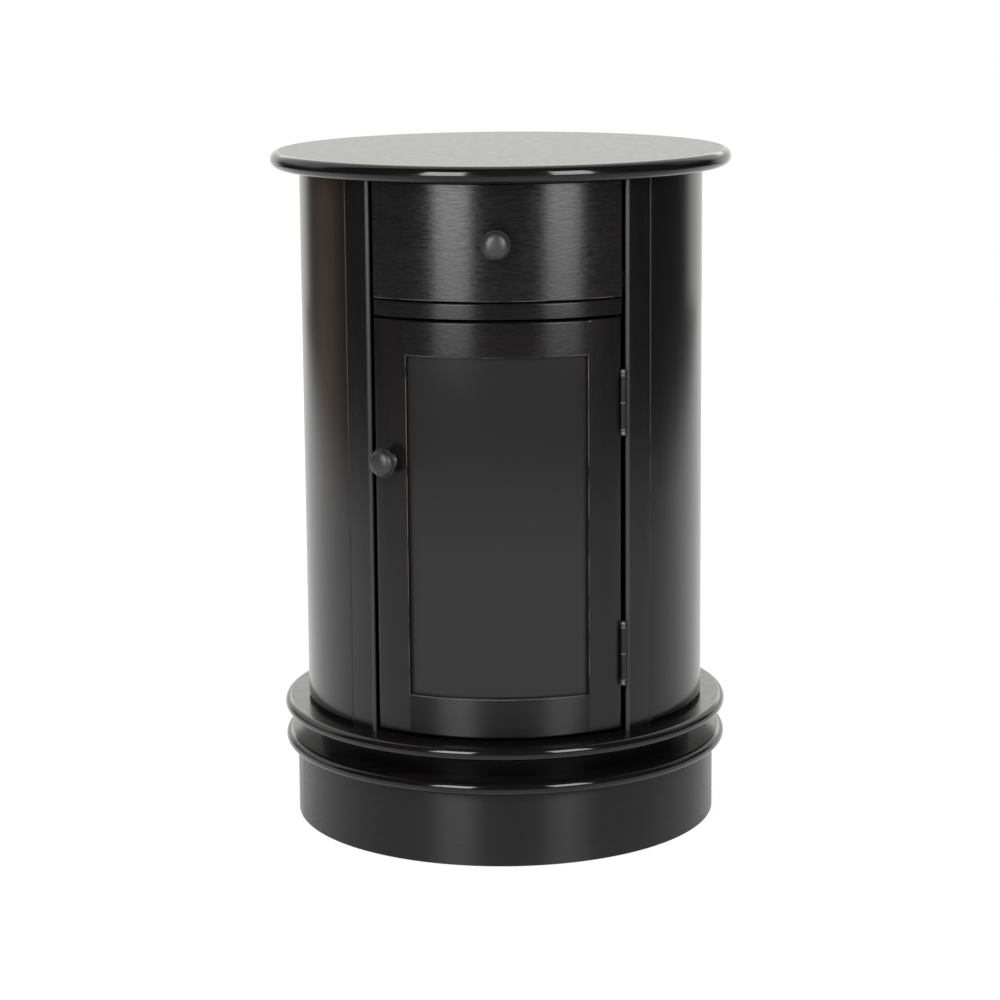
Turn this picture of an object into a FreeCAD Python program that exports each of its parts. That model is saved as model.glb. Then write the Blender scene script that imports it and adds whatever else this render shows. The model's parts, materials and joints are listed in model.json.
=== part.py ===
import FreeCAD, Part
import math
import os

# A round swivel accent table: a drum cabinet with a drawer and a door.
# The drum stands on a plate that turns over a fixed base.
# Millimetres. +Z is up, the front faces -Y, and the origin is on the floor, on the table's axis.
# Angles are in degrees, counted from the front and positive towards the right.

# Fits and tools shared by all pieces
GLUE_GAP = 0.2                 # glue line between wooden pieces that meet on a curve or in a slot
SCREW_GAP = 0.1                # room all round a screw, a dowel or a nail
OVERRUN = 5.0                  # how far a cutting shape runs past the piece that it cuts

# Table top
TOP_OVERHANG = 28.5            # past the drum, all round
TOP_THICKNESS = 16.0

# Base
GLIDE_DIAMETER = 22.0
GLIDE_HEIGHT = 4.0
GLIDE_PROUD = 1.0              # how far the glides hold the skirt off the floor
GLIDE_NAIL_DIAMETER = 2.5
GLIDE_NAIL_LENGTH = 14.0
SKIRT_DIAMETER = 422.0
SKIRT_HEIGHT = 72.5
SKIRT_THICKNESS = 12.0
SKIRT_SEAM = 0.4               # open line where the bent skirt's two ends meet
SKIRT_SEAM_ANGLE = -71.0
BLOCK_WIDTH = 60.0
BLOCK_DEPTH = 30.0
BLOCK_COUNT = 4
CAP_OVERHANG = 11.5            # base cap past the skirt
CAP_THICKNESS = 12.0

# Turntable pad and swivel bearing
PAD_DIAMETER = 374.0
PAD_THICKNESS = 12.0
BALL_CIRCLE = 280.0
BALL_DIAMETER = 6.0
BALL_GAP = 0.1                 # room between a ball and its groove
BALL_COUNT = 30
RING_WIDTH = 20.0
RING_LIP = 1.5                 # metal above and below the balls
RING_SLOT = 1.2                # open slot between the two rings
RING_LIFT = 1.0                # each ring clears the other's board by this
RING_SCREW_COUNT = 6

# Swivel plate
PLATE_OVERHANG = 24.0          # past the drum
PLATE_THICKNESS = 12.0

# Drum
BODY_DIAMETER = 398.0
BODY_HEIGHT = 535.0
SIDE_PANEL_THICKNESS = 9.0
SIDE_PANEL_REVEAL = 4.5        # dark line between a side panel and the swivel plate
JOINT_GROOVE = 0.8             # bevel on each side of the line between post and side panel
OPENING_WIDTH = 240.0
POST_FACE_WIDTH = 24.4         # seen from the front, from the opening to the joint line
POST_DEPTH = 24.0
POST_EDGE_RADIUS = 2.8
FRONT_INSET = 1.5              # drawer, rail and door lie this far inside the posts' faces
BOARD_THICKNESS = 12.0         # cabinet floor and sub-top
BATTEN_WIDTH = 30.0
BATTEN_DEPTH = 12.0

# Divider between the drawer and the door
DRAWER_BAY_HEIGHT = 113.5
DIVIDER_THICKNESS = 15.0
RAIL_END_GAP = 3.0
CLEAT_LENGTH = 180.0
CLEAT_POST_GAP = 54.0          # along the wall, from the post's joint line to the cleat
CLEAT_HEIGHT = 15.0
CLEAT_DEPTH = 12.0

# Drawer
DRAWER_END_GAP = 3.0           # between the front and each post
DRAWER_FOOT_GAP = 1.6
DRAWER_HEAD_GAP = 2.5
DRAWER_FRONT_THICKNESS = 18.0
DRAWER_BOX_STEP = 2.0          # the box is narrower than the front by this at each side
DRAWER_SIDE_THICKNESS = 12.0
DRAWER_RUN_GAP = 0.3           # running room under the drawer sides
DRAWER_BACK_ROOM = 18.5        # from the box's back corners to the side panels
DRAWER_BOTTOM_THICKNESS = 5.0
DRAWER_BOTTOM_RISE = 8.0
DRAWER_GROOVE_DEPTH = 6.0
DOWEL_DIAMETER = 6.0
DOWEL_LENGTH = 24.0
DOWEL_HEIGHT_SHARES = (0.3, 0.75)

# Drawer guides, kickers and stops
GUIDE_WIDTH = 20.0
GUIDE_HEIGHT = 20.0
GUIDE_GAP = 0.8                # side play of the drawer
GUIDE_END_GAP = 3.0            # between a guide and the post in front of it
KICKER_HEIGHT = 10.7
KICKER_GAP = 1.0               # play above the drawer sides
STOP_GAP = 0.5                 # left at each end of the drawer's travel
STOP_RAIL_DEPTH = 20.0
STOP_RAIL_SETBACK = 7.0        # stop rail behind the kickers' front ends
STOP_BLOCK_WIDTH = 30.0
STOP_BLOCK_DEPTH = 10.0
STOP_BLOCK_HEIGHT = 40.0
STOP_BLOCK_RISE = 9.0          # above the drawer's back
REAR_STOP_WIDTH = 40.0
REAR_STOP_DEPTH = 15.0
REAR_STOP_HEIGHT = 15.0

# Door
DOOR_LATCH_GAP = 2.8
DOOR_HINGE_GAP = 4.0
DOOR_FOOT_GAP = 3.7
DOOR_HEAD_GAP = 2.8
DOOR_THICKNESS = 18.0
DOOR_STILE_WIDTH = 31.0
DOOR_HEAD_RAIL = 33.5
DOOR_FOOT_RAIL = 38.5
DOOR_PANEL_THICKNESS = 6.0
DOOR_PANEL_SINK = 5.0
DOOR_TONGUE = 6.0              # how deep the panel and the rails' tongues go into the grooves
DOOR_TONGUE_ROOM = 0.4

# Hinges
LEAF_HEIGHT = 52.0
LEAF_DEPTH = 18.0
LEAF_THICKNESS = 1.4
KNUCKLE_DIAMETER = 5.4
KNUCKLE_GAP = 0.25
KNUCKLE_COUNT = 4
PIN_DIAMETER = 2.6
PIN_GAP = 0.05
AXIS_PROUD = 2.4               # hinge axis in front of the door's edge
TIP_COLLAR_DIAMETER = 4.6
TIP_COLLAR_HEIGHT = 1.4
TIP_BALL_DIAMETER = 5.0
UPPER_HINGE_DROP = 81.3        # from the door's head to the hinge's middle
LOWER_HINGE_RISE = 74.5        # from the door's foot to the hinge's middle
LEAF_SCREW_SPACING = 30.0

# Knobs
KNOB_BASE_DIAMETER = 15.0
KNOB_BASE_HEIGHT = 1.5
KNOB_NECK_DIAMETER = 11.0
KNOB_NECK_HEIGHT = 6.0
KNOB_HEAD_DIAMETER = 27.5
KNOB_LIP = 1.6                 # flat underside of the head, outside the neck's curve
KNOB_RIM_HEIGHT = 13.0
KNOB_RIM_THICKNESS = 2.0
KNOB_RIM_STEP = 0.9
KNOB_HEIGHT = 23.0
KNOB_SCREW_DIAMETER = 4.0
KNOB_SCREW_HEAD_DIAMETER = 8.0
KNOB_SCREW_HEAD_HEIGHT = 2.4
KNOB_SCREW_GRIP = 9.0          # how far the screw goes into the knob
KNOB_SEAT_GAP = 0.06           # under a flat seat on a bowed face
DOOR_KNOB_RISE = 265.0

# Magnetic catch
CATCH_LENGTH = 36.0
CATCH_DEPTH = 14.0
CATCH_HEIGHT = 13.0
CATCH_GAP = 0.5                # between magnet and strike when shut
MAGNET_LENGTH = 16.0
MAGNET_DEPTH = 9.0
MAGNET_HEIGHT = 6.0
STRIKE_LENGTH = 20.0
STRIKE_THICKNESS = 1.2
STRIKE_HEIGHT = 22.0

# Screws
SCREW_DIAMETER = 4.0
SCREW_HEAD_DIAMETER = 8.0
SMALL_SCREW_DIAMETER = 2.8
SMALL_SCREW_HEAD_DIAMETER = 5.4
SMALL_SCREW_LENGTH = 12.0
SCREW_BITE = 9.0               # how far a screw goes into the board that it holds
BLOCK_SCREW_BITE = 28.0        # cap screws in the blocks, post screws in the posts
SCREW_SINK = 0.1               # how deep a head lies in a hollow face
FLOOR_SCREW_INSET = 59.8       # from the floor's front edge
FLOOR_SCREW_COUNT = 6
TOP_SCREW_INSET = 29.8         # from the sub-top's edge
TOP_SCREW_ANGLES = (-105.0, -75.0, 75.0, 105.0, 160.0, -160.0)
RECESS_WIDTH_SHARE = 0.14      # cross recess, as shares of the head's diameter and height
RECESS_LENGTH_SHARE = 0.55
RECESS_DEPTH_SHARE = 0.6

# Levels, from the floor up
SKIRT_FOOT = GLIDE_PROUD
BLOCK_FOOT = GLIDE_HEIGHT
CAP_LEVEL = SKIRT_FOOT + SKIRT_HEIGHT
PAD_LEVEL = CAP_LEVEL + CAP_THICKNESS
BEARING_LEVEL = PAD_LEVEL + PAD_THICKNESS
RING_HEIGHT = BALL_DIAMETER + 2 * RING_LIP
PLATE_LEVEL = BEARING_LEVEL + RING_HEIGHT + RING_LIFT
BODY_LEVEL = PLATE_LEVEL + PLATE_THICKNESS
FLOOR_TOP = BODY_LEVEL + BOARD_THICKNESS
TOP_LEVEL = BODY_LEVEL + BODY_HEIGHT
SUB_TOP_LEVEL = TOP_LEVEL - BOARD_THICKNESS
DRAWER_LEVEL = TOP_LEVEL - DRAWER_BAY_HEIGHT
DIVIDER_LEVEL = DRAWER_LEVEL - DIVIDER_THICKNESS
DOOR_FOOT = BODY_LEVEL + DOOR_FOOT_GAP
DOOR_HEAD = DIVIDER_LEVEL - DOOR_HEAD_GAP
SIDE_FOOT = DRAWER_LEVEL + DRAWER_RUN_GAP
KICKER_FOOT = SUB_TOP_LEVEL - KICKER_HEIGHT
SIDE_HEAD = KICKER_FOOT - KICKER_GAP
DRAWER_SIDE_HEIGHT = SIDE_HEAD - SIDE_FOOT
BOTTOM_FOOT = SIDE_FOOT + DRAWER_BOTTOM_RISE
BOTTOM_HEAD = BOTTOM_FOOT + DRAWER_BOTTOM_THICKNESS

# Radii and places that several pieces share
BODY_RADIUS = BODY_DIAMETER / 2
SIDE_PANEL_BACK = BODY_RADIUS - SIDE_PANEL_THICKNESS
POST_BACK = BODY_RADIUS - POST_DEPTH
FRONT_RADIUS = BODY_RADIUS - FRONT_INSET
BOARD_RADIUS = SIDE_PANEL_BACK - GLUE_GAP
BOARD_FRONT_RADIUS = POST_BACK - GLUE_GAP
FLOOR_SCREW_RADIUS = BOARD_FRONT_RADIUS - FLOOR_SCREW_INSET
TOP_SCREW_RADIUS = BOARD_RADIUS - TOP_SCREW_INSET
OPENING_EDGE = OPENING_WIDTH / 2
JOINT_ANGLE = math.degrees(math.asin((OPENING_EDGE + POST_FACE_WIDTH) / BODY_RADIUS))
SKIRT_RADIUS = SKIRT_DIAMETER / 2
SKIRT_BACK = SKIRT_RADIUS - SKIRT_THICKNESS
BLOCK_MIDDLE = SKIRT_BACK - BLOCK_DEPTH / 2
BALL_RADIUS = BALL_DIAMETER / 2
INNER_RING_EDGE = (BALL_CIRCLE - RING_SLOT) / 2
OUTER_RING_EDGE = (BALL_CIRCLE + RING_SLOT) / 2
DOOR_BACK = FRONT_RADIUS - DOOR_THICKNESS
DOOR_LEFT = DOOR_LATCH_GAP - OPENING_EDGE
DOOR_RIGHT = OPENING_EDGE - DOOR_HINGE_GAP
DOOR_PANEL_LEFT = DOOR_LEFT + DOOR_STILE_WIDTH
DOOR_PANEL_RIGHT = DOOR_RIGHT - DOOR_STILE_WIDTH
DOOR_PANEL_FOOT = DOOR_FOOT + DOOR_FOOT_RAIL
DOOR_PANEL_HEAD = DOOR_HEAD - DOOR_HEAD_RAIL
DOOR_PANEL_FACE = FRONT_RADIUS - DOOR_PANEL_SINK
DOOR_PANEL_BACK = DOOR_PANEL_FACE - DOOR_PANEL_THICKNESS
LATCH_STILE_MIDDLE = DOOR_LEFT + DOOR_STILE_WIDTH / 2
DRAWER_FRONT_BACK = FRONT_RADIUS - DRAWER_FRONT_THICKNESS
DRAWER_FRONT_EDGE = OPENING_EDGE - DRAWER_END_GAP
DRAWER_FRONT_FOOT = DRAWER_LEVEL + DRAWER_FOOT_GAP
DRAWER_FRONT_HEAD = TOP_LEVEL - DRAWER_HEAD_GAP
SIDE_OUTER = DRAWER_FRONT_EDGE - DRAWER_BOX_STEP
SIDE_INNER = SIDE_OUTER - DRAWER_SIDE_THICKNESS
DRAWER_REAR = math.sqrt(BOARD_RADIUS ** 2 - SIDE_OUTER ** 2) - DRAWER_BACK_ROOM
DRAWER_BACK_FACE = DRAWER_REAR - DRAWER_SIDE_THICKNESS
RUNNER_FRONT = GUIDE_END_GAP - POST_BACK * math.cos(math.radians(JOINT_ANGLE))
STOP_RAIL_FRONT = RUNNER_FRONT + STOP_RAIL_SETBACK
STOP_RAIL_REAR = STOP_RAIL_FRONT + STOP_RAIL_DEPTH
STOP_BLOCK_FRONT = DRAWER_BACK_FACE - STOP_BLOCK_DEPTH
DRAWER_TRAVEL = STOP_BLOCK_FRONT - STOP_GAP - STOP_RAIL_REAR
STRIKE_FACE = DOOR_BACK - GLUE_GAP - STRIKE_THICKNESS
CATCH_FACE = STRIKE_FACE - CATCH_GAP
CATCH_FOOT = DIVIDER_LEVEL - CATCH_HEIGHT
MAGNET_FOOT = CATCH_FOOT + (CATCH_HEIGHT - MAGNET_HEIGHT) / 2
CATCH_ANGLE = math.degrees(math.asin(LATCH_STILE_MIDDLE / DOOR_BACK))
HINGE_X = OPENING_EDGE - DOOR_HINGE_GAP / 2
HINGE_Y = -math.sqrt(FRONT_RADIUS ** 2 - DOOR_RIGHT ** 2) - AXIS_PROUD
UPPER_HINGE_LEVEL = DOOR_HEAD - UPPER_HINGE_DROP
LOWER_HINGE_LEVEL = DOOR_FOOT + LOWER_HINGE_RISE

V = FreeCAD.Vector
ORIGIN = V(0, 0, 0)
RIGHT = V(1, 0, 0)
LEFT = V(-1, 0, 0)
FRONT = V(0, -1, 0)
UP = V(0, 0, 1)
DOWN = V(0, 0, -1)
QUARTER_TURN = 90
HALF_TURN = 180
FULL_TURN = 360

parts = {}


def turn(length, radius):
    """The angle, in degrees, of an arc of this length."""
    return math.degrees(length / radius)


def around(radius, angle, level):
    """The point at an angle from the front."""
    bearing = math.radians(angle)
    return V(radius * math.sin(bearing), -radius * math.cos(bearing), level)


def outward(angle):
    """The direction from the axis towards an angle from the front."""
    return around(1, angle, 0)


def block(left, right, front, rear, bottom, top):
    """A straight-sided block between six planes."""
    return Part.makeBox(right - left, rear - front, top - bottom, V(left, front, bottom))


def disc(radius, bottom, top):
    return Part.makeCylinder(radius, top - bottom, V(0, 0, bottom))


def sector(inner, outer, bottom, top, start, end):
    """A stretch of a round wall between two angles."""
    corners = [V(inner, 0, bottom), V(outer, 0, bottom), V(outer, 0, top), V(inner, 0, top)]
    face = Part.Face(Part.makePolygon(corners + corners[:1]))
    face.rotate(ORIGIN, UP, start - QUARTER_TURN)
    return face.revolve(ORIGIN, UP, end - start)


def bowed(inner, outer, left, right, bottom, top):
    """A piece bent to the drum at its front, with both ends cut straight from front to back."""
    wall = sector(inner, outer, bottom, top, -QUARTER_TURN, QUARTER_TURN)
    return wall.common(block(left, right, -outer - OVERRUN, 0, bottom - OVERRUN, top + OVERRUN))


def turned(edges):
    """A solid turned about the Z axis from an outline that starts and ends on it."""
    start = edges[0].Vertexes[0].Point
    end = edges[-1].Vertexes[-1].Point
    outline = Part.Wire(Part.__sortEdges__(edges + [Part.makeLine(end, start)]))
    return Part.Face(outline).revolve(ORIGIN, UP, FULL_TURN)


def turned_outline(points):
    """A solid turned about the Z axis from a line through points."""
    return turned([Part.makeLine(first, second) for first, second in zip(points, points[1:])])


def mirrored(shape):
    return shape.mirror(ORIGIN, RIGHT)


def nearest_edge(shape, point):
    """The straight upright edge whose middle is nearest to a point."""
    upright = [edge for edge in shape.Edges if isinstance(edge.Curve, Part.Line)]
    return min(upright, key=lambda edge: edge.CenterOfMass.distanceToPoint(point))


def placed(shape, place, toward):
    """A copy of a shape made on the Z axis, moved to a place and pointed in a direction."""
    copy = shape.copy()
    copy.Placement = FreeCAD.Placement(place, FreeCAD.Rotation(UP, toward))
    return copy


def round_board(radius, bottom, thickness):
    """A round board with a half-round edge."""
    flat = radius - thickness / 2
    top = bottom + thickness
    rim = Part.Arc(V(flat, 0, bottom), V(radius, 0, bottom + thickness / 2), V(flat, 0, top))
    under = Part.makeLine(V(0, 0, bottom), V(flat, 0, bottom))
    over = Part.makeLine(V(flat, 0, top), V(0, 0, top))
    return turned([under, rim.toShape(), over])


def screw(length, diameter, head_diameter, room):
    """A countersunk screw that points up from its head at the origin, or its hole where it has room."""
    shank = diameter / 2 + room
    head = head_diameter / 2 + room
    neck = (head_diameter - diameter) / 2
    head_points = [V(0, 0, 0), V(head, 0, 0), V(shank, 0, neck)]
    tip_points = [V(shank, 0, length - diameter), V(0, 0, length + room)]
    solid = turned_outline(head_points + tip_points)
    if room:
        # The hole is open in front of the head.
        return solid.fuse(disc(head, -OVERRUN, 0))
    depth = neck * RECESS_DEPTH_SHARE
    return solid.cut(cross(head_diameter * RECESS_LENGTH_SHARE, head_diameter * RECESS_WIDTH_SHARE, depth))


def cross(length, width, depth):
    """The cutter of a cross recess, from below the head's face up to a depth."""
    reach = length / 2
    half = width / 2
    bar = block(-reach, reach, -half, half, -OVERRUN, depth)
    return bar.fuse(block(-half, half, -reach, reach, -OVERRUN, depth))


def fasten(node, hosts, places, length, diameter, head_diameter):
    """Adds one node of like screws at (place, direction) pairs and drills the pieces that they hold."""
    body = screw(length, diameter, head_diameter, 0)
    hole = screw(length, diameter, head_diameter, SCREW_GAP)
    parts[node] = Part.makeCompound([placed(body, place, toward) for place, toward in places])
    drill(hosts, [placed(hole, place, toward) for place, toward in places])


def drill(hosts, holes):
    for host in hosts:
        parts[host] = parts[host].cut(holes)


def spread(count, first):
    """Evenly spaced angles round the axis."""
    return [first + FULL_TURN * index / count for index in range(count)]


def make_base():
    half_seam = turn(SKIRT_SEAM / 2, SKIRT_RADIUS)
    first = SKIRT_SEAM_ANGLE + half_seam
    last = SKIRT_SEAM_ANGLE + FULL_TURN - half_seam
    parts["base_skirt"] = sector(SKIRT_BACK, SKIRT_RADIUS, SKIRT_FOOT, CAP_LEVEL, first, last)
    parts["base_cap"] = round_board(SKIRT_RADIUS + CAP_OVERHANG, CAP_LEVEL, CAP_THICKNESS)
    parts["turntable_pad"] = disc(PAD_DIAMETER / 2, PAD_LEVEL, BEARING_LEVEL)
    # One block backs the skirt's seam.
    angles = spread(BLOCK_COUNT, SKIRT_SEAM_ANGLE)
    half = turn(BLOCK_WIDTH / 2, SKIRT_BACK)
    inner = SKIRT_BACK - BLOCK_DEPTH
    outer = SKIRT_BACK - GLUE_GAP
    blocks = [sector(inner, outer, BLOCK_FOOT, CAP_LEVEL, angle - half, angle + half) for angle in angles]
    parts["base_blocks"] = Part.makeCompound(blocks)
    make_glides(angles)
    cap_places = [(around(BLOCK_MIDDLE, angle, PAD_LEVEL), DOWN) for angle in angles]
    cap_screw_length = CAP_THICKNESS + BLOCK_SCREW_BITE
    fasten("base_cap_screws", ["base_cap", "base_blocks"], cap_places,
           cap_screw_length, SCREW_DIAMETER, SCREW_HEAD_DIAMETER)
    # These screws lie between the points of the glide nails and of the cap's screws.
    level = (BLOCK_FOOT + GLIDE_NAIL_LENGTH + CAP_LEVEL - BLOCK_SCREW_BITE) / 2
    block_places = [(around(inner + SCREW_SINK, angle, level), outward(angle)) for angle in angles]
    block_screw_length = BLOCK_DEPTH + SKIRT_THICKNESS / 2
    fasten("base_block_screws", ["base_blocks", "base_skirt"], block_places,
           block_screw_length, SCREW_DIAMETER, SCREW_HEAD_DIAMETER)


def make_glides(angles):
    """Nailed floor glides, one under each block."""
    radius = GLIDE_DIAMETER / 2
    foot = radius - GLIDE_HEIGHT
    nail = GLIDE_NAIL_DIAMETER / 2
    tip = GLIDE_HEIGHT + GLIDE_NAIL_LENGTH
    cup = [V(0, 0, 0), V(foot, 0, 0), V(radius, 0, GLIDE_HEIGHT), V(nail, 0, GLIDE_HEIGHT)]
    glide = turned_outline(cup + [V(nail, 0, tip), V(0, 0, tip)])
    places = [around(BLOCK_MIDDLE, angle, 0) for angle in angles]
    parts["floor_glides"] = Part.makeCompound([placed(glide, place, UP) for place in places])
    hole = disc(nail + SCREW_GAP, 0, tip + SCREW_GAP)
    drill(["base_blocks"], [placed(hole, place, UP) for place in places])


def make_bearing():
    """Two rings in one plane, with balls in the grooves between them."""
    middle = BEARING_LEVEL + RING_HEIGHT / 2 + RING_LIFT / 2
    groove = Part.makeTorus(BALL_CIRCLE / 2, BALL_RADIUS + BALL_GAP, V(0, 0, middle))
    inner_back = INNER_RING_EDGE - RING_WIDTH
    inner_top = BEARING_LEVEL + RING_HEIGHT
    inner = sector(inner_back, INNER_RING_EDGE, BEARING_LEVEL, inner_top, 0, FULL_TURN)
    outer_bottom = BEARING_LEVEL + RING_LIFT
    outer_back = OUTER_RING_EDGE + RING_WIDTH
    outer = sector(OUTER_RING_EDGE, outer_back, outer_bottom, PLATE_LEVEL, 0, FULL_TURN)
    parts["bearing_inner_ring"] = inner.cut(groove)
    parts["bearing_outer_ring"] = outer.cut(groove)
    ball = Part.makeSphere(BALL_RADIUS)
    places = [around(BALL_CIRCLE / 2, angle, middle) for angle in spread(BALL_COUNT, 0)]
    parts["bearing_balls"] = Part.makeCompound([placed(ball, place, UP) for place in places])
    parts["swivel_plate"] = round_board(BODY_RADIUS + PLATE_OVERHANG, PLATE_LEVEL, PLATE_THICKNESS)
    # The inner ring is held from below through cap and pad, the outer ring from below into the plate.
    inner_middle = INNER_RING_EDGE - RING_WIDTH / 2
    outer_middle = OUTER_RING_EDGE + RING_WIDTH / 2
    angles = spread(RING_SCREW_COUNT, 0)
    base_places = [(around(inner_middle, angle, CAP_LEVEL), UP) for angle in angles]
    base_length = CAP_THICKNESS + PAD_THICKNESS + RING_HEIGHT / 2
    fasten("bearing_base_screws", ["base_cap", "turntable_pad", "bearing_inner_ring"], base_places,
           base_length, SCREW_DIAMETER, SCREW_HEAD_DIAMETER)
    plate_places = [(around(outer_middle, angle, outer_bottom), UP) for angle in angles]
    fasten("bearing_plate_screws", ["bearing_outer_ring", "swivel_plate"], plate_places,
           RING_HEIGHT + SCREW_BITE, SCREW_DIAMETER, SCREW_HEAD_DIAMETER)


def inner_board(bottom, top):
    """A round board inside the drum, set back at the front to clear the posts and the opening."""
    margin = turn(GLUE_GAP, POST_BACK)
    start = -JOINT_ANGLE - margin
    end = JOINT_ANGLE + margin
    front = sector(BOARD_FRONT_RADIUS, BODY_RADIUS, bottom - OVERRUN, top + OVERRUN, start, end)
    return disc(BOARD_RADIUS, bottom, top).cut(front)


def right_post():
    """The right front post: its rounded edge faces the opening."""
    middle = (BODY_LEVEL + TOP_LEVEL) / 2
    wall = sector(POST_BACK, BODY_RADIUS, BODY_LEVEL, TOP_LEVEL, 0, JOINT_ANGLE)
    keep = block(OPENING_EDGE, BODY_RADIUS, -BODY_RADIUS, 0, BODY_LEVEL, TOP_LEVEL)
    solid = wall.common(keep)
    corner = V(OPENING_EDGE, -math.sqrt(BODY_RADIUS ** 2 - OPENING_EDGE ** 2), middle)
    solid = solid.makeFillet(POST_EDGE_RADIUS, [nearest_edge(solid, corner)])
    joint = around(BODY_RADIUS, JOINT_ANGLE, middle)
    return solid.makeChamfer(JOINT_GROOVE, [nearest_edge(solid, joint)])


def right_side_panel():
    """The right half of the bent wall behind the posts."""
    start = JOINT_ANGLE + turn(GLUE_GAP, BODY_RADIUS)
    end = HALF_TURN - turn(GLUE_GAP / 2, BODY_RADIUS)
    foot = BODY_LEVEL + SIDE_PANEL_REVEAL
    wall = sector(SIDE_PANEL_BACK, BODY_RADIUS, foot, TOP_LEVEL, start, end)
    joint = around(BODY_RADIUS, start, (foot + TOP_LEVEL) / 2)
    return wall.makeChamfer(JOINT_GROOVE, [nearest_edge(wall, joint)])


def make_drum():
    post = right_post()
    parts["right_post"] = post
    parts["left_post"] = mirrored(post)
    panel = right_side_panel()
    parts["right_side_panel"] = panel
    parts["left_side_panel"] = mirrored(panel)
    parts["cabinet_floor"] = inner_board(BODY_LEVEL, FLOOR_TOP)
    parts["divider_board"] = inner_board(DIVIDER_LEVEL, DRAWER_LEVEL)
    parts["sub_top"] = inner_board(SUB_TOP_LEVEL, TOP_LEVEL)
    parts["table_top"] = round_board(BODY_RADIUS + TOP_OVERHANG, TOP_LEVEL, TOP_THICKNESS)
    rail_end = OPENING_EDGE - RAIL_END_GAP
    parts["divider_rail"] = bowed(POST_BACK, FRONT_RADIUS, -rail_end, rail_end, DIVIDER_LEVEL, DRAWER_LEVEL)
    half = turn(BATTEN_WIDTH / 2, BOARD_RADIUS)
    parts["back_batten"] = sector(BOARD_RADIUS - BATTEN_DEPTH, BOARD_RADIUS, FLOOR_TOP, DIVIDER_LEVEL,
                                  HALF_TURN - half, HALF_TURN + half)
    parts["divider_cleats"] = make_cleats()
    fasten_drum()


def make_cleats():
    """Bent cleats under the divider board, one on each side panel."""
    start = JOINT_ANGLE + turn(CLEAT_POST_GAP, BOARD_RADIUS)
    end = start + turn(CLEAT_LENGTH, BOARD_RADIUS)
    foot = DIVIDER_LEVEL - CLEAT_HEIGHT
    cleat = sector(BOARD_RADIUS - CLEAT_DEPTH, BOARD_RADIUS, foot, DIVIDER_LEVEL, start, end)
    return Part.makeCompound([cleat, mirrored(cleat)])


def fasten_drum():
    floor_angles = spread(FLOOR_SCREW_COUNT, 0)
    floor_places = [(around(FLOOR_SCREW_RADIUS, angle, FLOOR_TOP), DOWN) for angle in floor_angles]
    fasten("floor_screws", ["cabinet_floor", "swivel_plate"], floor_places,
           BOARD_THICKNESS + PLATE_THICKNESS / 2, SCREW_DIAMETER, SCREW_HEAD_DIAMETER)
    # A post's screw comes up through the swivel plate, in the thick of the post.
    post_radius = (POST_BACK + BODY_RADIUS) / 2
    opening_angle = math.degrees(math.asin(OPENING_EDGE / post_radius))
    post_angle = (opening_angle + JOINT_ANGLE) / 2
    post_places = [(around(post_radius, angle, PLATE_LEVEL), UP) for angle in (-post_angle, post_angle)]
    fasten("post_screws", ["swivel_plate", "left_post", "right_post"], post_places,
           PLATE_THICKNESS + BLOCK_SCREW_BITE, SCREW_DIAMETER, SCREW_HEAD_DIAMETER)
    top_places = [(around(TOP_SCREW_RADIUS, angle, SUB_TOP_LEVEL), UP) for angle in TOP_SCREW_ANGLES]
    fasten("top_screws", ["sub_top", "table_top"], top_places,
           BOARD_THICKNESS + SCREW_BITE, SCREW_DIAMETER, SCREW_HEAD_DIAMETER)


def make_runners():
    """What guides, holds down and stops the drawer."""
    guide_left = SIDE_OUTER + GUIDE_GAP
    guide = block(guide_left, guide_left + GUIDE_WIDTH, RUNNER_FRONT, DRAWER_REAR,
                  DRAWER_LEVEL, DRAWER_LEVEL + GUIDE_HEIGHT)
    guide = guide.common(disc(BOARD_RADIUS, DRAWER_LEVEL, TOP_LEVEL))
    parts["drawer_guides"] = Part.makeCompound([guide, mirrored(guide)])
    kicker = block(SIDE_INNER, SIDE_OUTER, RUNNER_FRONT, DRAWER_REAR, KICKER_FOOT, SUB_TOP_LEVEL)
    parts["drawer_kickers"] = Part.makeCompound([kicker, mirrored(kicker)])
    rail_end = SIDE_INNER - GLUE_GAP
    parts["drawer_stop_rail"] = block(-rail_end, rail_end, STOP_RAIL_FRONT, STOP_RAIL_REAR,
                                      KICKER_FOOT, SUB_TOP_LEVEL)
    stop_front = DRAWER_REAR + STOP_GAP
    stop_rear = stop_front + REAR_STOP_DEPTH
    stop_edge = REAR_STOP_WIDTH / 2
    stop_head = DRAWER_LEVEL + REAR_STOP_HEIGHT
    parts["drawer_rear_stop"] = block(-stop_edge, stop_edge, stop_front, stop_rear, DRAWER_LEVEL, stop_head)


def make_drawer():
    parts["drawer_front"] = drawer_front()
    side = drawer_side()
    parts["drawer_right_side"] = side
    parts["drawer_left_side"] = mirrored(side)
    edge = SIDE_INNER - GLUE_GAP
    back_foot = BOTTOM_HEAD + GLUE_GAP
    parts["drawer_back"] = block(-edge, edge, DRAWER_BACK_FACE, DRAWER_REAR, back_foot, SIDE_HEAD)
    parts["drawer_bottom"] = drawer_bottom(0)
    stop_edge = STOP_BLOCK_WIDTH / 2
    stop_head = SIDE_HEAD + STOP_BLOCK_RISE
    parts["drawer_stop_block"] = block(-stop_edge, stop_edge, STOP_BLOCK_FRONT, DRAWER_BACK_FACE,
                                       stop_head - STOP_BLOCK_HEIGHT, stop_head)
    add_dowels()
    add_knob("drawer", DRAWER_FRONT_BACK, 0, (DRAWER_FRONT_FOOT + DRAWER_FRONT_HEAD) / 2, ["drawer_front"])


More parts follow.
